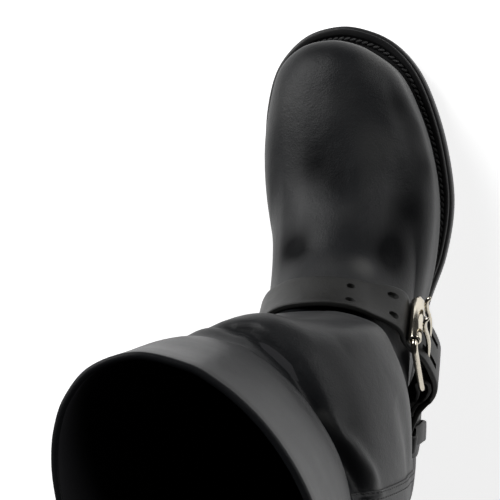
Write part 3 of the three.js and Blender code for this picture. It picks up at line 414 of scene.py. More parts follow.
ring = welt_row(0, -0.45 * GROOVE_DEEP)
front = ring[:, 1] > 70
start = np.flatnonzero(front & ~np.roll(front, 1))[0]
line = np.roll(ring, -start, 0)[:front.sum()]
centres, along, across, up = stitch_frames(line, STITCH_PITCH)
along, across = lean(along, across, 24)
count = len(centres)
welt_thread = bead_chain("welt_lockstitch", centres, along, across, up, np.full(count, STITCH_LONG),
                         np.full(count, STITCH_WIDE), np.full(count, STITCH_HIGH))


def thread(name, colour, roughness=0.6):
    """Waxed linen thread: one dark tone with fine twisted ridges in the bump."""
    material, shader = new_material(name)
    place = add(material, "ShaderNodeTexCoord").outputs["Object"]
    twist = add(material, "ShaderNodeTexWave", {"Vector": place, "Scale": 900.0, "Distortion": 3.0})
    bump = add(material, "ShaderNodeBump", {"Height": twist.outputs["Fac"], "Distance": 0.0001})
    material.node_tree.links.new(bump.outputs["Normal"], shader.inputs["Normal"])
    shader.inputs["Base Color"].default_value = linear(colour)
    shader.inputs["Roughness"].default_value = roughness
    return material


# Thread: waxed black linen, which shows only by its small highlights.
black_thread = thread("waxed_black_thread", "#161617")
dress(welt_thread, black_thread, (), 180.0)

# Upper. Black leather drawn over the last: side wall, vamp, instep and a slack shaft that has
# sunk into itself. One hollow wall from the welt to the collar, with its lining on the inside;
# its dents and folds are soft troughs and ridges.
INSTEP_HEIGHT, ANKLE_HEIGHT, SHAFT_HEIGHT = 112.0, 150.0, 382.0
COLLAR_LENGTH, COLLAR_WIDTH, COLLAR_TURN, ANKLE_SQUARE = 150.0, 100.0, 33.0, 2.7
WALL_BULGE, WALL_RISE_FROM, WALL_RISE_SPAN = 3.0, 0.16, 0.3
# bulge, rise in front, rise at the back
WALL_ROWS = [(0, 0, 0), (0.72, 0.062, 0.04), (1, 0.135, 0.078), (0.8, 0.21, 0.118)]
# front, back, lateral, medial, high in front, high at the back, drop, oval
VAMP_ROWS = [
    (0.852, -0.121, 0.486, 0.418, 0.5, 0.57, 0.085, 0.06),
    (0.826, -0.121, 0.458, 0.396, 0.576, 0.6, 0.085, 0.13),
    (0.778, -0.12, 0.428, 0.37, 0.612, 0.63, 0.08, 0.21),
    (0.714, -0.118, 0.41, 0.352, 0.621, 0.655, 0.075, 0.29),
    (0.641, -0.115, 0.405, 0.343, 0.639, 0.68, 0.07, 0.37),
    (0.563, -0.111, 0.407, 0.338, 0.688, 0.715, 0.062, 0.45),
    (0.492, -0.107, 0.412, 0.338, 0.76, 0.755, 0.054, 0.54),
    (0.43, -0.104, 0.418, 0.343, 0.85, 0.82, 0.045, 0.66),
    (0.386, -0.102, 0.424, 0.352, 0.975, 0.92, 0.027, 0.82),
    (0.35, -0.102, 0.43, 0.366, 1.135, 1.085, 0.009, 0.95),
]
# up, forward, outward, long, short, turn, square
SHAFT_ROWS = [
    (0, 0.2, 0.06, 0.875, 0.95, 0, 2.4), (0.07, 0.206, 0.065, 0.9, 1, 0, 2.8),
    (0.16, 0.206, 0.06, 0.905, 1.03, 0, 2.7), (0.25, 0.206, 0.035, 0.91, 1.04, 0.1, 2.5),
    (0.33, 0.206, 0, 0.925, 1.02, 0.3, 2.4), (0.39, 0.206, -0.04, 0.95, 0.98, 0.6, 2.3),
    (0.43, 0.204, -0.105, 0.87, 0.77, 1.05, 2.2), (0.47, 0.198, -0.11, 0.92, 0.9, 1.05, 2.1),
    (0.54, 0.192, -0.105, 0.95, 0.95, 1.05, 2), (0.68, 0.186, -0.085, 0.965, 0.97, 1, 2),
    (0.84, 0.176, -0.055, 0.98, 0.985, 1, 2), (1, 0.167, -0.034, 1, 1, 1, 2),
]


def wall_ring(bulge, rise_front, rise_back):
    """The feather line moved out by the bulge, at a rise above the welt along the foot."""
    ring = outline_ring(LEDGE * WELT_LEDGE - bulge * WALL_BULGE)
    forward = smooth((ring[:, 1] / SOLE_LENGTH - WALL_RISE_FROM) / WALL_RISE_SPAN)
    rise = mix(rise_back, rise_front, forward) * INSTEP_HEIGHT
    return np.column_stack([ring, SEAM_GAP + rise, np.ones(len(ring))])


def vamp_ring(front, back, lateral, medial, high_front, high_back, drop, oval):
    """The feather line shrunk to the section's length and widths, blended with an oval, its
    height run from back to front less a drop at the sides."""
    x, y = outline_ring(LEDGE * WELT_LEDGE).T
    share = (y - y.min()) / (y.max() - y.min())
    side = np.where(x > 0, lateral, medial)
    over = np.where(x > 0, x / x.max(), x / -x.min())
    turn = np.radians(TURN)
    squared = lambda t: np.sign(t) * np.abs(t) ** (2 / ANKLE_SQUARE)
    share = mix(share, (1 + squared(np.cos(turn))) / 2, oval)
    over = mix(over, squared(np.sin(turn)), oval)
    fall = drop * over ** 2 * smooth(2.2 * share - 0.6)
    height = (mix(high_back, high_front, share) - fall) * INSTEP_HEIGHT
    return np.stack([over * side * BALL_WIDTH, mix(back, front, share) * SOLE_LENGTH, height, 0 * x], 1)


def shaft_ring(up, forward, outward, long, short, turn, square):
    """A rounded oval about the section's middle, turned, at its share of the shaft's height."""
    direction = np.radians(TURN)
    angle = direction + math.radians(COLLAR_TURN) * turn
    along = np.abs(np.cos(angle) / (long * COLLAR_LENGTH / 2)) ** square
    across = np.abs(np.sin(angle) / (short * COLLAR_WIDTH / 2)) ** square
    radius = (along + across) ** (-1 / square)
    height = np.full(len(direction), mix(ANKLE_HEIGHT, SHAFT_HEIGHT, up))
    return np.stack([
        outward * COLLAR_WIDTH + radius * np.sin(direction),
        forward * COLLAR_LENGTH + radius * np.cos(direction), height, 0 * height,
    ], 1)


rings = np.array([wall_ring(*row) for row in WALL_ROWS] + [vamp_ring(*row) for row in VAMP_ROWS]
                 + [shaft_ring(*row) for row in SHAFT_ROWS])
ROWS = len(rings)
ghosted = np.concatenate([2 * rings[:1] - rings[1:2], rings, 2 * rings[-1:] - rings[-2:-1]])


def smooth_point(u, v):
    """The last's surface: a curve through each ring's points at u round the foot from the toe,
    and a cubic B-spline over the rings at v from the welt to the collar."""
    u, v = np.broadcast_arrays(np.asarray(u, float), np.asarray(v, float))
    place = np.clip(v, 0, 1) * (ROWS - 1)
    row = np.minimum(np.floor(place).astype(int), ROWS - 2)
    t = place - row
    s = 1 - t
    down = [s ** 3 / 6, (3 * t ** 3 - 6 * t ** 2 + 4) / 6, (3 * s ** 3 - 6 * s ** 2 + 4) / 6, t ** 3 / 6]
    spot = (u % 1) * len(OUTLINE)
    column = np.floor(spot).astype(int)
    round_weights = through_weights(spot - column)
    total = 0
    for a in range(4):
        for b in range(4):
            weight = down[a] * round_weights[b]
            total = total + weight[..., None] * ghosted[row + a, (column + b - 1) % len(OUTLINE)]
    return np.concatenate([total[..., :2], (total[..., 2] + total[..., 3] * welt_top(total[..., 1]))[..., None]], -1)


def unit(vectors):
    """Vectors shrunk to length one."""
    return vectors / np.linalg.norm(vectors, axis=-1, keepdims=True)


def smooth_normal(u, v, step=1e-3):
    """The outward direction: the rise up the boot crossed with the way round it."""
    up = smooth_point(u, np.minimum(v + step, 1)) - smooth_point(u, np.maximum(v - step, 0))
    return unit(np.cross(up, smooth_point(u + step, v) - smooth_point(u - step, v)))


def near_line(points, line):
    """Distance of each point to a line of straight runs, and the share of the line there."""
    line = np.array(line, float)
    run = np.r_[0, np.cumsum(np.linalg.norm(np.diff(line, axis=0), axis=1))]
    best, share = np.full(points.shape[:-1], 1e9), np.zeros(points.shape[:-1])
    for a, b, begin, end in zip(line[:-1], line[1:], run[:-1], run[1:]):
        t = np.clip(((points - a) @ (b - a)) / ((b - a) @ (b - a)), 0, 1)
        gap = np.linalg.norm(points - (a + t[..., None] * (b - a)), axis=-1)
        share = np.where(gap < best, mix(begin, end, t) / run[-1], share)
        best = np.minimum(best, gap)
    return best, share


# Folds of the slack shaft and the instep: line in millimetres, height, half width.
FOLDS = [
    ([(-34, 97, 236), (-26, 98, 239), (-17, 96, 243), (-9, 95, 244), (2, 87, 246), (12, 78, 247), (20, 66, 248),
      (28, 51, 248.5), (32, 44, 249), (36, 37, 248.5), (40, 30, 247), (44, 22, 246), (48, 8, 247)], -5.0, 3.6),
    ([(-20, 93, 257), (0, 84, 258), (14, 70, 260), (27, 50, 261), (38, 36, 260), (46, 22, 258)], 1.8, 7.0),
    ([(26, 56, 243), (31, 50, 243.5), (34, 45, 243), (38, 41, 241.5), (42, 35, 240), (46, 29, 238), (50, 20, 235)], 3.2, 4.0),
    ([(-22, 100, 229), (-6, 100, 231), (10, 90, 233), (22, 76, 236)], 2.0, 6.0),
    ([(30, 88, 225), (37, 90, 200), (40, 92, 178), (41, 92, 160)], 3.0, 9.0),
    ([(2, 104, 222), (8, 105, 200), (14, 106, 175)], -2.0, 11.0),
    ([(-12, 96, 144), (-3, 98, 137), (3, 99, 132), (9, 100, 130), (15, 99, 130), (21, 97, 131), (27, 93, 133),
      (34, 87, 136), (40, 78, 138)], -4.5, 6.5),
    ([(-20, 98, 176), (-8, 101, 164), (12, 102, 160), (30, 94, 162), (46, 80, 172)], 2.4, 8.0),
    ([(-42, 70, 186), (-28, 92, 192), (-6, 103, 196)], -1.8, 7.0),
    ([(-47, 10, 238), (-46, -14, 242), (-30, -34, 246), (0, -42, 250), (30, -36, 252), (50, -10, 254)], -3.2, 6.0),
    ([(-38, -18, 160), (-14, -30, 150), (14, -31, 148), (36, -20, 152), (46, 2, 160)], -2.6, 9.0),
    ([(-34, -6, 118), (-14, -24, 112), (14, -24, 112), (34, -8, 118)], -2.0, 9.0),
    ([(54, 60, 200), (57, 40, 186), (55, 14, 176)], -1.6, 9.0),
    ([(-50, 40, 205), (-47, 14, 196), (-40, -8, 186)], -1.6, 9.0),
    ([(-36, 78, 132), (-33, 60, 126), (-31, 40, 120)], -1.8, 7.0),
    ([(44, 66, 136), (43, 46, 128), (40, 26, 120)], -1.6, 7.0),
]
# Dents of the vamp: middle in millimetres, depth, half width.
DENTS = [
    ((-8, 228, 52), -1.2, 11.0), ((-8, 165, 66), -1.7, 14.0), ((5, 157, 68), -1.2, 11.0),
    ((-15, 125, 85), -1.8, 10.0), ((38, 125, 85), -1.4, 12.0), ((34, 207, 56), -0.8, 12.0),
    ((26, 181, 64), 0.8, 16.0), ((4, 146, 74), 0.9, 12.0), ((20, 119, 95), 1.0, 9.0),
    ((-4, 197, 62), 0.7, 16.0),
]


def relief(points):
    """Height of the folds and dents over the last: each is a bell across its line or round its
    middle, and a fold fades out towards both ends."""
    height = np.zeros(points.shape[:-1])
    for line, up, wide in FOLDS:
        gap, share = near_line(points, line)
        height += up * np.exp(-(gap / wide) ** 2) * np.sin(np.pi * np.clip(share, 0.02, 0.98)) ** 0.5
    for middle, up, wide in DENTS:
        height += up * np.exp(-(np.linalg.norm(points - np.array(middle), axis=-1) / wide) ** 2)
    return height


# Spots of tone on the leather, from the spots the photograph shows: dark blue black blotches of the
# oiled leather that also hold painted shade in the dents under them, and pale grey spots that are partly
# the leather's paler patches and partly painted highlights on the swellings, the toe and the inner side:
# middle, tone, half width.
TONE_AND_PAINTED_LIGHT_SPOTS = [
    ((-9, 229, 51), -1.5, 12.0), ((3, 230, 51), -0.5, 9.0), ((-18, 223, 51), -0.5, 8.0),
    ((-9, 170, 66), -1.1, 14.0), ((3, 159, 69), -1.0, 9.0), ((-8, 185, 63), -0.5, 11.0),
    ((-17, 126, 83), -1.6, 10.0), ((-12, 138, 78), -0.5, 8.0), ((38, 128, 84), -1.6, 16.0),
    ((46, 172, 50), -1.0, 12.0), ((40, 150, 66), -0.9, 13.0), ((32, 206, 57), -0.9, 11.0),
    ((41, 192, 52), -0.8, 10.0), ((20, 232, 47), 1.8, 12.0), ((32, 222, 47), 0.5, 10.0),
    ((-4, 241, 42), 0.7, 12.0), ((-22, 236, 42), 0.5, 10.0), ((6, 145, 73), 0.5, 9.0),
    ((20, 119, 95), 1.1, 7.0), ((-38, 195, 38), 0.9, 13.0), ((-35, 165, 42), 0.8, 13.0),
    ((-33, 135, 55), 0.8, 13.0), ((-26, 205, 54), 0.45, 14.0), ((22, 182, 64), 0.45, 14.0),
    ((16, 160, 69), 0.3, 10.0), ((0, 205, 60), 0.25, 12.0), ((2, 118, 96), 0.3, 8.0),
]
# Painted light along lines: painted shade in the crease and in the gap behind the strap, a painted
# highlight on the ridge beside the crease, and painted shade and painted light on the two sides of the
# ridge down the shaft's front.
PAINTED_LIGHT_LINES = [
    (FOLDS[0][0], -0.9, 3.5), (FOLDS[6][0], -1.6, 8.0), (FOLDS[2][0], 1.6, 2.6),
    ([(41, 90, 230), (46, 84, 200), (48, 84, 170)], -0.35, 16.0),
    ([(8, 102, 225), (14, 103, 200), (18, 102, 176)], 0.35, 12.0),
]


def tone_and_painted_light_of(points):
    """Sum of the soft spots, which are leather blotches with painted shade and painted highlights, and the lines of
    painted shade and highlight, with the rim darker from its last 7 mm.
    """
    total = -0.55 * smooth((points[..., 2] - SHAFT_HEIGHT + 9) / 5)
    for line, tone_and_painted_light, wide in PAINTED_LIGHT_LINES:
        total += tone_and_painted_light * np.exp(-(near_line(points, line)[0] / wide) ** 2)
    for middle, tone_and_painted_light, wide in TONE_AND_PAINTED_LIGHT_SPOTS:
        total += tone_and_painted_light * np.exp(-(np.linalg.norm(points - np.array(middle), axis=-1) / wide) ** 2)
    return np.clip(total, -1, 1)


ROUND_STEPS, OUTER_STEPS, INNER_STEPS = 330, 216, 56
RIM_WALL, RIM_FADE = 3.4, 14.0
fine_v = np.linspace(0, 1, 1200)
column = smooth_point(np.full(1200, 0.12), fine_v)
run = np.r_[0, np.cumsum(np.linalg.norm(np.diff(column, axis=0), axis=1))]


def level_run(count):
    """Levels from the welt to the collar that lie evenly along the boot's front."""
    return np.interp(np.linspace(0, run[-1], count), run, fine_v)


around = np.arange(ROUND_STEPS) / ROUND_STEPS
outer_v = level_run(OUTER_STEPS)
inner_v = level_run(INNER_STEPS)[::-1]


def upper_rows(levels, outward):
    """Rows of the upper at levels, moved out from the last by a distance and the relief."""
    u, v = np.meshgrid(around, levels)
    points = smooth_point(u, v)
    normals = smooth_normal(u, v)
    out = np.broadcast_to(outward, levels.shape)[:, None] + relief(points) * (levels[:, None] < 0.999)
    return points + normals * out[..., None]


rim_angle = np.linspace(0, np.pi, 9)[1:-1]
edge, edge_out = smooth_point(around, np.ones(ROUND_STEPS)), smooth_normal(around, np.ones(ROUND_STEPS))
rim_rows = [
    edge + edge_out * (RIM_WALL / 2 * (math.cos(angle) - 1)) + np.array([0, 0, 1.3 * math.sin(angle)])
    for angle in rim_angle
]
inner_height = smooth_point(np.full(INNER_STEPS, 0.12), inner_v)[:, 2]
inner_wall = -mix(RIM_WALL, WALL, smooth((SHAFT_HEIGHT - inner_height) / RIM_FADE))
upper_grid = np.concatenate([upper_rows(outer_v, 0.0), rim_rows, upper_rows(inner_v, inner_wall)])
upper = surface("leather_upper", upper_grid, wrap=True)
# The upper's tone: the leather's blotches together with painted shade and painted highlights.
tone_and_painted_light = upper.data.attributes.new("tone_and_painted_light", "FLOAT", "POINT")
tone_and_painted_light.data.foreach_set("value", tone_and_painted_light_of(upper_grid).astype(np.float32).ravel())

# Upper leather: smooth oiled black leather, pressed and waxed, with a soft sheen, darker blue black in its
# blotches and where painted shade lies in creases and dents, and greyer in paler patches and painted highlights.
upper_leather = leather("oiled_black_leather", "#141517", "#1D1E20", "#343433", 0.45, 0.9, 0.06)
# Lining: thin black leather, rubbed by the leg, near black and dull.
lining_leather = leather("black_lining_leather", "#222224", "#2C2C2F", "#303033", 0.6, 0.7, 0.03, marks=False)
upper.data.materials.append(upper_leather)
upper.data.materials.append(lining_leather)
face_rows = np.repeat(np.arange(len(upper_grid)), ROUND_STEPS)
inside = (face_rows > OUTER_STEPS + 5).astype(np.int32)
upper.data.polygons.foreach_set("material_index", inside)
dress(upper, upper_leather, ["upper"], 180.0)

# Insole. A board of leather with a thin black sock glued on it, seen only down the shaft.
board = LEDGE * WELT_LEDGE + WALL + 0.8
filling = welt_inside + SEAM_GAP
insole_rows = [
    sole_ring(filling, lambda y: welt_top(y) - WELT),
    sole_ring(filling, lambda y: welt_top(y) + SEAM_GAP),
    sole_ring(board, lambda y: welt_top(y) + SEAM_GAP),
    sole_ring(board, lambda y: welt_top(y) + SEAM_GAP + 3.4),
    sole_ring(board + 0.6, lambda y: welt_top(y) + SEAM_GAP + 4.0),
]
insole = surface("sock_and_insole", insole_rows, cap="tip")
sock_leather = leather("black_sock_leather", "#101010", "#1A1A1A", "#202020", 0.6, 0.8, 0.04, marks=False)
dress(insole, sock_leather, ["insole"])

# Side seams. A strip of the same leather folded over the joint of the shaft's front and back
# and sewn down along both sides, from the ankle to just under the rim.
SEAM_PLACES, SEAM_WIDE, SEAM_HIGH = (0.335, 0.73), 5.0, 1.5
SEAM_FROM, SEAM_TO = 13.0 / (ROWS - 1), 24.6 / (ROWS - 1)


def on_upper(u, v, up):
    """A point that high over the upper with its folds."""
    points, normals = smooth_point(u, v), smooth_normal(u, v)
    return points + normals * (relief(points) + up)[..., None]


def beside_seam(place, v, aside, up):
    """A point beside a seam's middle, by the width that a small step round the boot has."""
    width = np.linalg.norm(smooth_point(place + 1e-3, v) - smooth_point(place - 1e-3, v), axis=-1) / 2e-3
    return on_upper(place + aside / width, v, up)


seam_profile = np.array([
    (-0.5, -0.9), (-0.5, 0.5), (-0.47, 0.95), (-0.4, 1.15), (-0.3, 1.05), (-0.15, 1.3), (0, SEAM_HIGH),
    (0.15, 1.3), (0.3, 1.05), (0.4, 1.15), (0.47, 0.95), (0.5, 0.5), (0.5, -0.9),
])
for name, place in zip(("outer", "inner"), SEAM_PLACES):
    v = np.linspace(SEAM_FROM, SEAM_TO, 260)[:, None]
    rows = beside_seam(place, v + 0 * seam_profile[:, 0], SEAM_WIDE * seam_profile[:, 0], seam_profile[:, 1])
    strip = surface(f"side_seam_strip_{name}", rows[:, ::-1])
    dress(strip, upper_leather, [f"side_seam_{name}"], 60.0)
    beads = []
    for side in (-1, 1):
        v = np.linspace(SEAM_FROM + 0.004, SEAM_TO - 0.004, 500)
        line = beside_seam(place, v, side * 0.3 * SEAM_WIDE + 0 * v, 1.1 + 0 * v)
        centres, along, across, up = stitch_frames(line, 3.0, smooth_normal(place, 0.8))
        beads.append((centres, along, across, up))
    centres, along, across, up = (np.concatenate(group) for group in zip(*beads))
    count = len(centres)
    seam_thread = bead_chain(f"side_seam_thread_{name}", centres, along, across, up, np.full(count, 2.3),
                             np.full(count, 0.7), np.full(count, 0.6))
    dress(seam_thread, black_thread, (), 180.0)

# Instep strap. A thick strap of bridle leather, cut square with rounded edges, sewn down low
# on the inner side, laid over the instep, drawn under the roller and out over the heel bar.
STRAP_WIDTH, STRAP_THICK, CHAPE_THICK, BUCKLE_LENGTH = 28.0, 3.0, 2.4, 36.0
WIRE, ROLLER, PRONG, PRONG_SPACING, METAL_GAP, LAYER_GAP = 3.6, 3.6, 2.6, 14.0, 0.35, 0.45
HOLE, HOLE_DEEP, HOLES_AT, KEEPER_WIDE, KEEPER_THICK = 4.0, 2.3, (-31.5, -50.0), 11.0, 2.0
# round the foot, height as a share of the instep's
ROUTE = np.array([
    (0.47, 0.565), (0.429, 0.562), (0.383, 0.572), (0.335, 0.622), (0.283, 0.705), (0.234, 0.795),
    (0.183, 0.893), (0.1, 1.007), (0.02, 1.056), (-0.06, 1.032), (-0.13, 0.923), (-0.196, 0.802),
    (-0.267, 0.68), (-0.33, 0.6), (-0.392, 0.565), (-0.43, 0.56),
])
ROUTE_STEPS, BUCKLE_AT = 24, 4.86


def level_at_height(u, height):
    """The level of the upper at a height, by halving the way up to the ankle."""
    low, high = np.zeros_like(u), np.full_like(u, (len(WALL_ROWS) + len(VAMP_ROWS)) / (ROWS - 1))
    for _ in range(18):
        middle = (low + high) / 2
        below = smooth_point(u, middle)[..., 2] < height
        low, high = np.where(below, middle, low), np.where(below, high, middle)
    return low


route_at = 1 + np.arange((len(ROUTE) - 3) * ROUTE_STEPS) / ROUTE_STEPS
first = np.floor(route_at).astype(int)
weights = through_weights(route_at - first)
route_round, route_high = sum(weights[k][:, None] * ROUTE[first + k - 1] for k in range(4)).T
route_level = level_at_height(route_round, route_high * INSTEP_HEIGHT)
route_points = smooth_point(route_round, route_level)
route_run = np.r_[0, np.cumsum(np.linalg.norm(np.diff(route_points, axis=0), axis=1))]
route_run = (route_run[np.argmax(route_at >= BUCKLE_AT)] - route_run)[::-1]
route_round, route_level = route_round[::-1], route_level[::-1]


def route_spot(length):
    """Place on the upper of the strap's middle, at a length from the buckle to the heel."""
    k = np.clip(np.searchsorted(route_run, length), 1, len(route_run) - 1)
    share = (length - route_run[k - 1]) / (route_run[k] - route_run[k - 1])
    return mix(route_round[k - 1], route_round[k], share), mix(route_level[k - 1], route_level[k], share)


def route_frame(length):
    """Place, point and directions along, out and across the strap at a length."""
    u, v = route_spot(length)
    out = smooth_normal(u, v)
    along = smooth_point(*route_spot(length + 4)) - smooth_point(*route_spot(length - 4))
    along = unit(along - out * np.sum(along * out, -1, keepdims=True))
    return u, v, smooth_point(u, v), along, out, np.cross(out, along)


def beside_route(u, v, across, aside, steps=6, probe=1e-3):
    """A walk over the surface across the strap: each step splits the way into the two
    parameters by the lengths and the angle of their directions there."""
    for _ in range(steps):
        around_way = (smooth_point(u + probe, v) - smooth_point(u - probe, v)) / (2 * probe)
        rise_way = (smooth_point(u, v + probe) - smooth_point(u, v - probe)) / (2 * probe)
        out = unit(np.cross(rise_way, around_way))
        way = unit(across - out * np.sum(across * out, -1, keepdims=True))
        rr, rs, ss = (np.sum(a * b, -1) for a, b in
                      ((around_way, around_way), (around_way, rise_way), (rise_way, rise_way)))
        ra, sa = np.sum(around_way * way, -1), np.sum(rise_way * way, -1)
        stretch = aside / steps / (rr * ss - rs * rs)
        u = u + stretch * (ss * ra - rs * sa)
        v = np.maximum(probe, v + stretch * (rr * sa - rs * ra))
    return u, v


buckle_u, buckle_v, BUCKLE_POINT, BUCKLE_ALONG, BUCKLE_OUT, BUCKLE_ACROSS = route_frame(np.array(0.0))


def flat_point(length, aside, out):
    """A point of the rigid buckle, in the plane that touches the upper at its middle."""
    length, aside, out = np.broadcast_arrays(*(np.asarray(value, float) for value in (length, aside, out)))
    return (BUCKLE_POINT + length[..., None] * BUCKLE_ALONG + aside[..., None] * BUCKLE_ACROSS
            + out[..., None] * BUCKLE_OUT)


def harness_point(length, aside, out):
    """A point over the upper at a length, aside and height of the strap, drawn to the buckle's
    flat plane near it by a smooth share of the distance."""
    length, aside, out = np.broadcast_arrays(*(np.asarray(value, float) for value in (length, aside, out)))
    u, v, _, _, _, across = route_frame(length)
    u, v = beside_route(u, v, across, aside)
    point = smooth_point(u, v) + smooth_normal(u, v) * out[..., None]
    share = 1 - smooth((np.abs(length) - BUCKLE_LENGTH / 2 - 3) / 20)
    return mix(point, flat_point(length, aside, out), share[..., None])


def smooth_path(spots, step):
    """A curve through spots of length and height, cut to even steps."""
    spots = np.array(spots, float)
    ends = np.vstack([2 * spots[:1] - spots[1:2], spots, 2 * spots[-1:] - spots[-2:-1]])
    place = np.linspace(0, len(spots) - 1, 60 * len(spots))
    first = np.minimum(place.astype(int), len(spots) - 2)
    weights = through_weights(place - first)
    curve = sum(weights[k][:, None] * ends[first + k] for k in range(4))
    run = np.r_[0, np.cumsum(np.linalg.norm(np.diff(curve, axis=0), axis=1))]
    even = np.linspace(0, run[-1], int(run[-1] / step) + 2)
    return np.stack([np.interp(even, run, curve[:, axis]) for axis in range(2)], 1)


def strap_profile(width, thick, rounding, flats=9, close=()):
    """A rounded rectangle: two long faces in even steps with a slight crown, finer near the
    places in close, and four corners of a quarter round; its points face each other."""
    side = width / 2 - rounding
    corner = np.linspace(0, np.pi / 2, 5)
    flat = np.unique(np.concatenate([np.linspace(-side, side, flats), *close]))
    up = thick / 2 + 0.12 * (1 - (flat / side) ** 2)
    top = np.stack([flat, up], 1)
    right = np.stack([side + rounding * np.sin(corner), thick / 2 - rounding + rounding * np.cos(corner)], 1)[1:]
    left = np.stack([-right[::-1, 0], right[::-1, 1]], 1)
    upper_half = np.vstack([left, top, right])
    return np.vstack([upper_half, np.stack([upper_half[::-1, 0], -upper_half[::-1, 1]], 1)])


def strap_rows(path, width, thick, shares=1.0, rounding=0.9, holes=(), close=()):
    """The profile carried along a path of lengths and heights, square to it, over the upper;
    its outer face is pressed in by a steep bell round each hole."""
    profile = strap_profile(width, thick, rounding, close=close)
    way = np.gradient(path, axis=0)
    way /= np.linalg.norm(way, axis=1, keepdims=True)
    shares = np.broadcast_to(shares, len(path))[:, None]
    through = profile[:, 1] + 0 * shares
    for hole_length, hole_aside in holes:
        gap = np.hypot(path[:, :1] - hole_length, profile[:, 0] * shares - hole_aside)
        through = through - HOLE_DEEP * (profile[:, 1] > 0) * smooth((HOLE / 2 + 0.2 - gap) / 0.5)
    length = path[:, :1] - way[:, 1:] * through
    height = path[:, 1:] + way[:, :1] * through
    return harness_point(length, profile[:, 0] * shares, height)


CHAPE_LOW = SEAM_GAP + CHAPE_THICK / 2
HEEL_BAR_UP = CHAPE_LOW + CHAPE_THICK / 2 + METAL_GAP + WIRE / 2
FOLD = WIRE / 2 + METAL_GAP + CHAPE_THICK / 2
CHAPE_HIGH = HEEL_BAR_UP + FOLD
STRAP_LOW = SEAM_GAP + STRAP_THICK / 2
ROLLER_UP = STRAP_LOW + STRAP_THICK / 2 + SEAM_GAP + ROLLER
STRAP_HIGH = CHAPE_HIGH + CHAPE_THICK / 2 + SEAM_GAP + STRAP_THICK / 2
ROLLER_AT, HEEL_BAR_AT = -BUCKLE_LENGTH / 2, BUCKLE_LENGTH / 2
CHAPE_LIFTED = SEAM_GAP + KEEPER_THICK + LAYER_GAP + CHAPE_THICK / 2
STRAP_IN_KEEPER = CHAPE_LIFTED + (CHAPE_THICK + STRAP_THICK) / 2 + SEAM_GAP
KEEPER_AT = HEEL_BAR_AT + 41
STRAP_END, STRAP_START, CHAPE_END, CHAPE_RETURN = KEEPER_AT + 13, -198.0, HEEL_BAR_AT + 72, HEEL_BAR_AT + 24

near_hole = np.linspace(-2.6, 2.6, 22)
PRONG_SIDES = (-PRONG_SPACING / 2, PRONG_SPACING / 2)
LYING_TO = ROLLER_AT - 10.2
lying = np.unique(np.concatenate(
    [np.linspace(STRAP_START, LYING_TO, 174)] + [near_hole + at for at in HOLES_AT],
))
lying = np.stack([lying, np.full(len(lying), STRAP_LOW)], 1)
lifting = smooth_path([
    (ROLLER_AT - 9.5, STRAP_LOW), (ROLLER_AT - 4, STRAP_LOW), (ROLLER_AT, STRAP_LOW),
    (ROLLER_AT + 6, mix(STRAP_LOW, STRAP_HIGH, 0.2)), (ROLLER_AT + 12, mix(STRAP_LOW, STRAP_HIGH, 0.56)),
    (0, mix(STRAP_LOW, STRAP_HIGH, 0.8)), (HEEL_BAR_AT - 8, mix(STRAP_LOW, STRAP_HIGH, 0.97)),
    (HEEL_BAR_AT, STRAP_HIGH), (HEEL_BAR_AT + 8, mix(STRAP_HIGH, STRAP_IN_KEEPER, 0.3)),
    (CHAPE_RETURN + 2, mix(STRAP_HIGH, STRAP_IN_KEEPER, 0.75)), (KEEPER_AT - 8, STRAP_IN_KEEPER),
    (KEEPER_AT + KEEPER_WIDE / 2, STRAP_IN_KEEPER), (STRAP_END - 0.3, STRAP_IN_KEEPER),
], 1.0)
strap_path = np.vstack([lying, lifting])
to_end = np.clip((STRAP_END - strap_path[:, 0]) / (STRAP_WIDTH / 2), 0, 1)
strap_shares = np.sqrt(np.clip(1 - (1 - to_end) ** 2, 0.04, 1))
instep_strap = surface("instep_harness_strap", strap_rows(
    strap_path, STRAP_WIDTH, STRAP_THICK, strap_shares,
    holes=[(at, side) for at in HOLES_AT for side in PRONG_SIDES],
    close=[near_hole + side for side in PRONG_SIDES],
))


def cut(piece, rings, name):
    """Cuts a prism through rings of points out of a piece, and keeps the piece's place."""
    knife = surface(name, rings, cap="flat")
    modifier = piece.modifiers.new("cut", "BOOLEAN")
    modifier.operation, modifier.solver, modifier.object = "DIFFERENCE", "EXACT", knife
    bpy.context.view_layer.update()
    done = bpy.data.meshes.new_from_object(piece.evaluated_get(bpy.context.evaluated_depsgraph_get()))
    piece.modifiers.clear()
    piece.data = done
    bpy.data.objects.remove(knife)


def slot_rings(low_length, high_length, aside):
    """A block across the buckle's plane for one prong: its four corners below and above."""
    half = PRONG / 2 + METAL_GAP
    corners = np.array([(low_length, aside - half), (high_length, aside - half),
                        (high_length, aside + half), (low_length, aside + half)])
    return [flat_point(corners[:, 0], corners[:, 1], up) for up in (-6, 24)]


for side in PRONG_SIDES:
    cut(instep_strap, slot_rings(-6, 11.5, side), "prong_slot")

# Strap leather: bridle leather with a smooth waxed face, browner and flatter than the upper.
strap_leather = leather("waxed_strap_leather", "#151514", "#1F1F1E", "#333331", 0.45, 1.1, 0.05, marks=False)
dress(instep_strap, strap_leather, ["instep_strap"], 35.0)


def box_stitches(name, middle, half_long, half_wide, up, pitch=3.2):
    """Thread along a rectangle of the strap, as it is sewn down."""
    corner = np.array([(-1, -1), (1, -1), (1, 1), (-1, 1), (-1, -1)], float) * (half_long, half_wide)
    run = np.r_[0, np.cumsum(np.linalg.norm(np.diff(corner, axis=0), axis=1))]
    place = np.linspace(0, run[-1], 260)
    line = harness_point(middle + np.interp(place, run, corner[:, 0]), np.interp(place, run, corner[:, 1]), up)
    out = smooth_normal(*route_spot(np.array(float(middle))))
    centres, along, across, up = stitch_frames(line, pitch, out)
    count = len(centres)
    piece = bead_chain(name, centres, along, across, up, np.full(count, 2.4), np.full(count, 0.8),
                       np.full(count, 0.6))
    dress(piece, black_thread, (), 180.0)


box_stitches("strap_anchor_stitches", STRAP_START + 13, 9, STRAP_WIDTH / 2 - 3.5, STRAP_LOW + STRAP_THICK / 2 + 0.1)

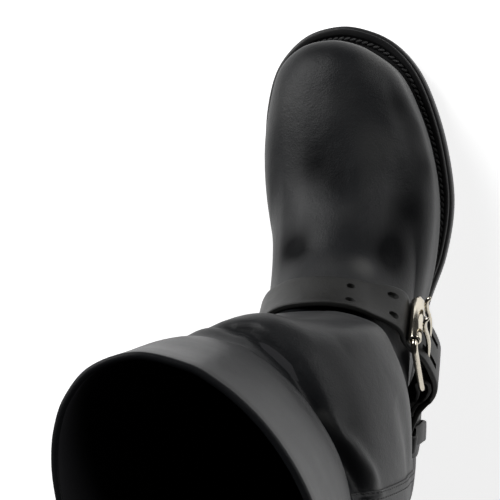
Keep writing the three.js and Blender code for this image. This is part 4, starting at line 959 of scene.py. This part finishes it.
# Buckle strap. A shorter strap of the same leather, sewn down near the heel, run forward under
# the keeper, folded round the buckle's heel bar and skived where it lies back on itself.
fold_turn = -np.pi / 2 - np.linspace(0, np.pi, 25)
chape_path = np.vstack([
    smooth_path([
        (CHAPE_END, CHAPE_LOW), (KEEPER_AT + 20, CHAPE_LOW), (KEEPER_AT + 9, CHAPE_LIFTED),
        (KEEPER_AT - 9, CHAPE_LIFTED), (CHAPE_RETURN - 4, mix(CHAPE_LOW, CHAPE_LIFTED, 0.3)),
        (HEEL_BAR_AT + 12, CHAPE_LOW), (HEEL_BAR_AT + 3, CHAPE_LOW),
    ], 1.5),
    np.stack([HEEL_BAR_AT + FOLD * np.cos(fold_turn), HEEL_BAR_UP + FOLD * np.sin(fold_turn)], 1),
    smooth_path([
        (HEEL_BAR_AT + 4, CHAPE_HIGH - 0.3),
        (HEEL_BAR_AT + 10, mix(CHAPE_HIGH, CHAPE_LOW + CHAPE_THICK + SEAM_GAP, 0.6)),
        (HEEL_BAR_AT + 16, CHAPE_LOW + CHAPE_THICK + SEAM_GAP + 0.3),
        (CHAPE_RETURN, mix(CHAPE_LOW, CHAPE_LIFTED, 0.5) + CHAPE_THICK + SEAM_GAP),
    ], 1.2),
])
buckle_strap = surface("folded_buckle_strap", strap_rows(chape_path, STRAP_WIDTH, CHAPE_THICK, 1.0, 0.7))
for side in PRONG_SIDES:
    cut(buckle_strap, slot_rings(HEEL_BAR_AT - FOLD - CHAPE_THICK, HEEL_BAR_AT + FOLD + PRONG, side), "prong_slot")
dress(buckle_strap, strap_leather, ["buckle_strap"], 35.0)
box_stitches("buckle_strap_anchor_stitches", CHAPE_END - 11, 7.5, STRAP_WIDTH / 2 - 3.5,
             CHAPE_LOW + CHAPE_THICK / 2 + 0.1)

# Keeper. A loop of strap leather, its ends butted under the buckle strap, that holds down the
# instep strap's rounded end.
half_across = STRAP_WIDTH / 2 + LAYER_GAP + KEEPER_THICK / 2
keeper_low = CHAPE_LIFTED - CHAPE_THICK / 2 - LAYER_GAP - KEEPER_THICK / 2
keeper_high = STRAP_IN_KEEPER + STRAP_THICK / 2 + 2 * LAYER_GAP + KEEPER_THICK / 2
KEEPER_BEND = 2.3
bend = np.linspace(0, np.pi / 2, 6)
loop = []
for corner_across, corner_up, begin in ((1, 1, 0), (-1, 1, 1), (-1, 0, 2), (1, 0, 3)):
    angle = bend + begin * np.pi / 2
    middle_up = keeper_high - KEEPER_BEND if corner_up else keeper_low + KEEPER_BEND
    loop.append(np.stack([corner_across * (half_across - KEEPER_BEND) + KEEPER_BEND * np.cos(angle),
                          middle_up + KEEPER_BEND * np.sin(angle), np.cos(angle), np.sin(angle)], 1))
    ahead = {0: (-1, np.pi / 2), 2: (1, -np.pi / 2)}.get(begin)
    if ahead:
        run_across = np.linspace(-ahead[0], ahead[0], 14)[1:-1] * (half_across - KEEPER_BEND)
        level = keeper_high if begin == 0 else keeper_low
        loop.append(np.stack([run_across, np.full(12, level), 0 * run_across,
                              np.full(12, 1.0 if begin == 0 else -1.0)], 1))
loop = np.vstack(loop)
keeper_profile = strap_profile(KEEPER_WIDE, KEEPER_THICK, 0.9, 5)
rows = harness_point(
    KEEPER_AT + keeper_profile[:, 0] + 0 * loop[:, :1],
    loop[:, :1] + loop[:, 2:3] * keeper_profile[:, 1],
    loop[:, 1:2] + loop[:, 3:4] * keeper_profile[:, 1],
)
keeper = surface("leather_keeper_loop", rows, wrap=True)
dress(keeper, strap_leather, ["strap_keeper"], 35.0)

# Buckle frame. One steel wire bent to a rectangle, butt welded under the fold, plated and
# polished to a pale warm nickel.
FRAME_HALF = STRAP_WIDTH / 2 + 1.5 + WIRE / 2


def frame_height(length):
    """The frame's slope: from the roller's height to the heel bar's."""
    return mix(ROLLER_UP, HEEL_BAR_UP, (length - ROLLER_AT) / BUCKLE_LENGTH)


frame_bend = WIRE * 1.1
quarter = np.linspace(0, np.pi / 2, 12)
turns = np.concatenate([quarter + c * np.pi / 2 for c in range(4)])
centre_long = np.repeat([1, -1, -1, 1], 12) * (BUCKLE_LENGTH / 2 - frame_bend)
centre_wide = np.repeat([1, 1, -1, -1], 12) * (FRAME_HALF - frame_bend)
wire_turn = np.linspace(0, 2 * np.pi, 20, endpoint=False)
out_way = frame_bend + WIRE / 2 * np.cos(wire_turn)[None]
frame_long = centre_long[:, None] + out_way * np.cos(turns)[:, None]
frame_wide = centre_wide[:, None] + out_way * np.sin(turns)[:, None]
bar_long = centre_long + frame_bend * np.cos(turns)
frame_up = frame_height(bar_long)[:, None] + WIRE / 2 * np.sin(wire_turn)[None]
buckle_frame = surface("wire_buckle_frame", flat_point(frame_long, frame_wide, frame_up), wrap=True)


def metal(name, colour, roughness, scratch):
    """Nickel plated steel: a pale warm tone, broad soft wear in the roughness, and fine
    polishing lines and small dings in the bump."""
    material, shader = new_material(name)
    place = add(material, "ShaderNodeTexCoord").outputs["Object"]
    wear = add(material, "ShaderNodeTexNoise", {"Vector": place, "Scale": 260.0, "Detail": 4.0})
    rough = add(material, "ShaderNodeMapRange", {"Value": wear.outputs["Fac"], "From Min": 0.3, "From Max": 0.7,
                                                 "To Min": roughness * 0.7, "To Max": roughness * 1.5})
    dings = add(material, "ShaderNodeTexNoise", {"Vector": place, "Scale": 500.0, "Detail": 2.0})
    bump = add(material, "ShaderNodeBump", {"Height": dings.outputs["Fac"], "Distance": scratch * 0.001})
    material.node_tree.links.new(rough.outputs["Result"], shader.inputs["Roughness"])
    material.node_tree.links.new(bump.outputs["Normal"], shader.inputs["Normal"])
    shader.inputs["Base Color"].default_value = linear(colour)
    shader.inputs["Metallic"].default_value = 1.0
    return material


# Plated steel: bright where it faces the light, dark where it mirrors the leather.
pale_metal = metal("plated_buckle_steel", "#C9C2B3", 0.15, 0.03)
dress(buckle_frame, pale_metal, ["buckle_frame"], 180.0)

# Roller. A thin steel tube, turned in at its ends, that spins on the frame's front bar.
roller_half = STRAP_WIDTH / 2 + 1.5 - WIRE / 2
bore = WIRE / 2 + METAL_GAP
roller_profile = np.array([
    (-roller_half + 0.5, bore), (-roller_half, bore + 0.35), (-roller_half, ROLLER - 0.6),
    (-roller_half + 0.2, ROLLER - 0.2),
    (-roller_half + 0.7, ROLLER), (0, ROLLER), (roller_half - 0.7, ROLLER), (roller_half - 0.2, ROLLER - 0.2),
    (roller_half, ROLLER - 0.6), (roller_half, bore + 0.35), (roller_half - 0.5, bore),
])
roller_turn = np.linspace(0, 2 * np.pi, 40, endpoint=False)
rows = flat_point(
    ROLLER_AT + roller_profile[:, 1:] * np.cos(roller_turn),
    roller_profile[:, :1] + 0 * roller_turn,
    ROLLER_UP + roller_profile[:, 1:] * np.sin(roller_turn),
)
roller = surface("steel_roller_tube", rows, wrap=True)
dress(roller, pale_metal, ["buckle_roller"], 50.0)

# Prongs. Two steel wires, each hooked round the heel bar, passed up through the straps and
# laid over the roller, with a tapered tip that is bent outwards.
eye = WIRE / 2 + METAL_GAP + PRONG / 2
rest = ROLLER_UP + ROLLER + PRONG / 2 + METAL_GAP
hook_turn = np.radians([-60, -30, 0, 30, 60, 90])
prong_spots = [*zip(HEEL_BAR_AT + eye * np.cos(hook_turn), HEEL_BAR_UP + eye * np.sin(hook_turn))] + [
    (HEEL_BAR_AT - 5, HEEL_BAR_UP + eye), (HEEL_BAR_AT - 11, HEEL_BAR_UP + eye + 0.4),
    (1, HEEL_BAR_UP + eye + 1.9), (-7, rest - 0.4), (ROLLER_AT + 5, rest + 0.2), (ROLLER_AT, rest + 0.1),
    (ROLLER_AT - 5, rest + 0.6), (ROLLER_AT - 8, rest + 2), (ROLLER_AT - 9.5, rest + 4),
]
prong_path = smooth_path(prong_spots, 0.7)
way = np.gradient(prong_path, axis=0)
way /= np.linalg.norm(way, axis=1, keepdims=True)
left = (len(prong_path) - 1 - np.arange(len(prong_path))) * 0.7
prong_radius = PRONG / 2 * np.sqrt(np.clip(left / 1.6, 0.03, 1)) * mix(0.86, 1, np.clip(left / 12, 0, 1))
prong_radius[0] *= 0.6
round_wire = np.linspace(0, 2 * np.pi, 16, endpoint=False)
for name, side in zip(("lower", "upper"), PRONG_SIDES):
    offset = prong_radius[:, None] * np.sin(round_wire)
    rows = flat_point(
        prong_path[:, :1] - way[:, 1:] * offset,
        side + prong_radius[:, None] * np.cos(round_wire),
        prong_path[:, 1:] + way[:, :1] * offset,
    )
    prong = surface(f"steel_prong_{name}", rows, cap="flat")
    dress(prong, pale_metal, [f"buckle_prong_{name}"], 60.0)

# Studio. A pale paper floor, two large soft boxes and a bright room, as for a catalogue.
floor_mesh = bpy.data.meshes.new("paper_floor")
floor_mesh.from_pydata([(-3, -3, 0), (3, -3, 0), (3, 3, 0), (-3, 3, 0)], [], [(0, 1, 2, 3)])
floor = bpy.data.objects.new("paper_floor", floor_mesh)
bpy.context.collection.objects.link(floor)
paper, paper_shader = new_material("white_paper")
paper_shader.inputs["Base Color"].default_value = linear("#F4F4F4")
paper_shader.inputs["Roughness"].default_value = 0.9
paper_shader.inputs["Emission Color"].default_value = (1, 1, 1, 1)
PAPER_GLOW = 0.72
paper_shader.inputs["Emission Strength"].default_value = PAPER_GLOW
floor_mesh.materials.append(paper)


def soft_box(name, place, target, size, power):
    """A square area light at a place in metres, turned to a target."""
    light = bpy.data.lights.new(name, "AREA")
    light.shape, light.size, light.energy = "SQUARE", size, power
    lamp = bpy.data.objects.new(name, light)
    lamp.location = place
    lamp.rotation_euler = (Vector(target) - Vector(place)).to_track_quat("-Z", "Y").to_euler()
    bpy.context.collection.objects.link(lamp)


soft_box("key_box", (-1.3, 1.2, 1.2), (0, 0.1, 0.1), 1.2, 36)
soft_box("fill_box", (1.5, 1.0, 1.0), (0, 0.1, 0.1), 1.1, 12)
world = bpy.data.worlds.new("bright_room")
bpy.context.scene.world = world
world.use_nodes = True
sky = world.node_tree
direction = sky.nodes.new("ShaderNodeTexCoord")
split = sky.nodes.new("ShaderNodeSeparateXYZ")
rise = sky.nodes.new("ShaderNodeMapRange")
rise.inputs["From Min"].default_value, rise.inputs["From Max"].default_value = 0.25, 0.9
rise.inputs["To Min"].default_value, rise.inputs["To Max"].default_value = 0.95, 0.22
sky.links.new(direction.outputs["Generated"], split.inputs["Vector"])
sky.links.new(split.outputs["Z"], rise.inputs["Value"])
sky.links.new(rise.outputs["Result"], sky.nodes["Background"].inputs["Strength"])
bpy.context.scene.view_settings.view_transform = "Standard"

# Camera. High over the boot and a little to its outer side, as in the photograph.
lens = bpy.data.cameras.new("shop_camera")
lens.lens, lens.sensor_width = 167.8, 36.0
lens.clip_start, lens.clip_end = 0.05, 20.0
camera = bpy.data.objects.new("shop_camera", lens)
place, target = np.array([0.224, 0.160, 1.3]), np.array([-0.062, 0.125, 0.0])
back = unit(place - target)
right = unit(np.cross([0, 1, 0], back))
up = np.cross(back, right)
turned = np.stack([right, up, back], 1).tolist()
camera.matrix_world = Matrix([[*row, where] for row, where in zip(turned, place.tolist())] + [[0, 0, 0, 1]])
bpy.context.collection.objects.link(camera)
bpy.context.scene.camera = camera
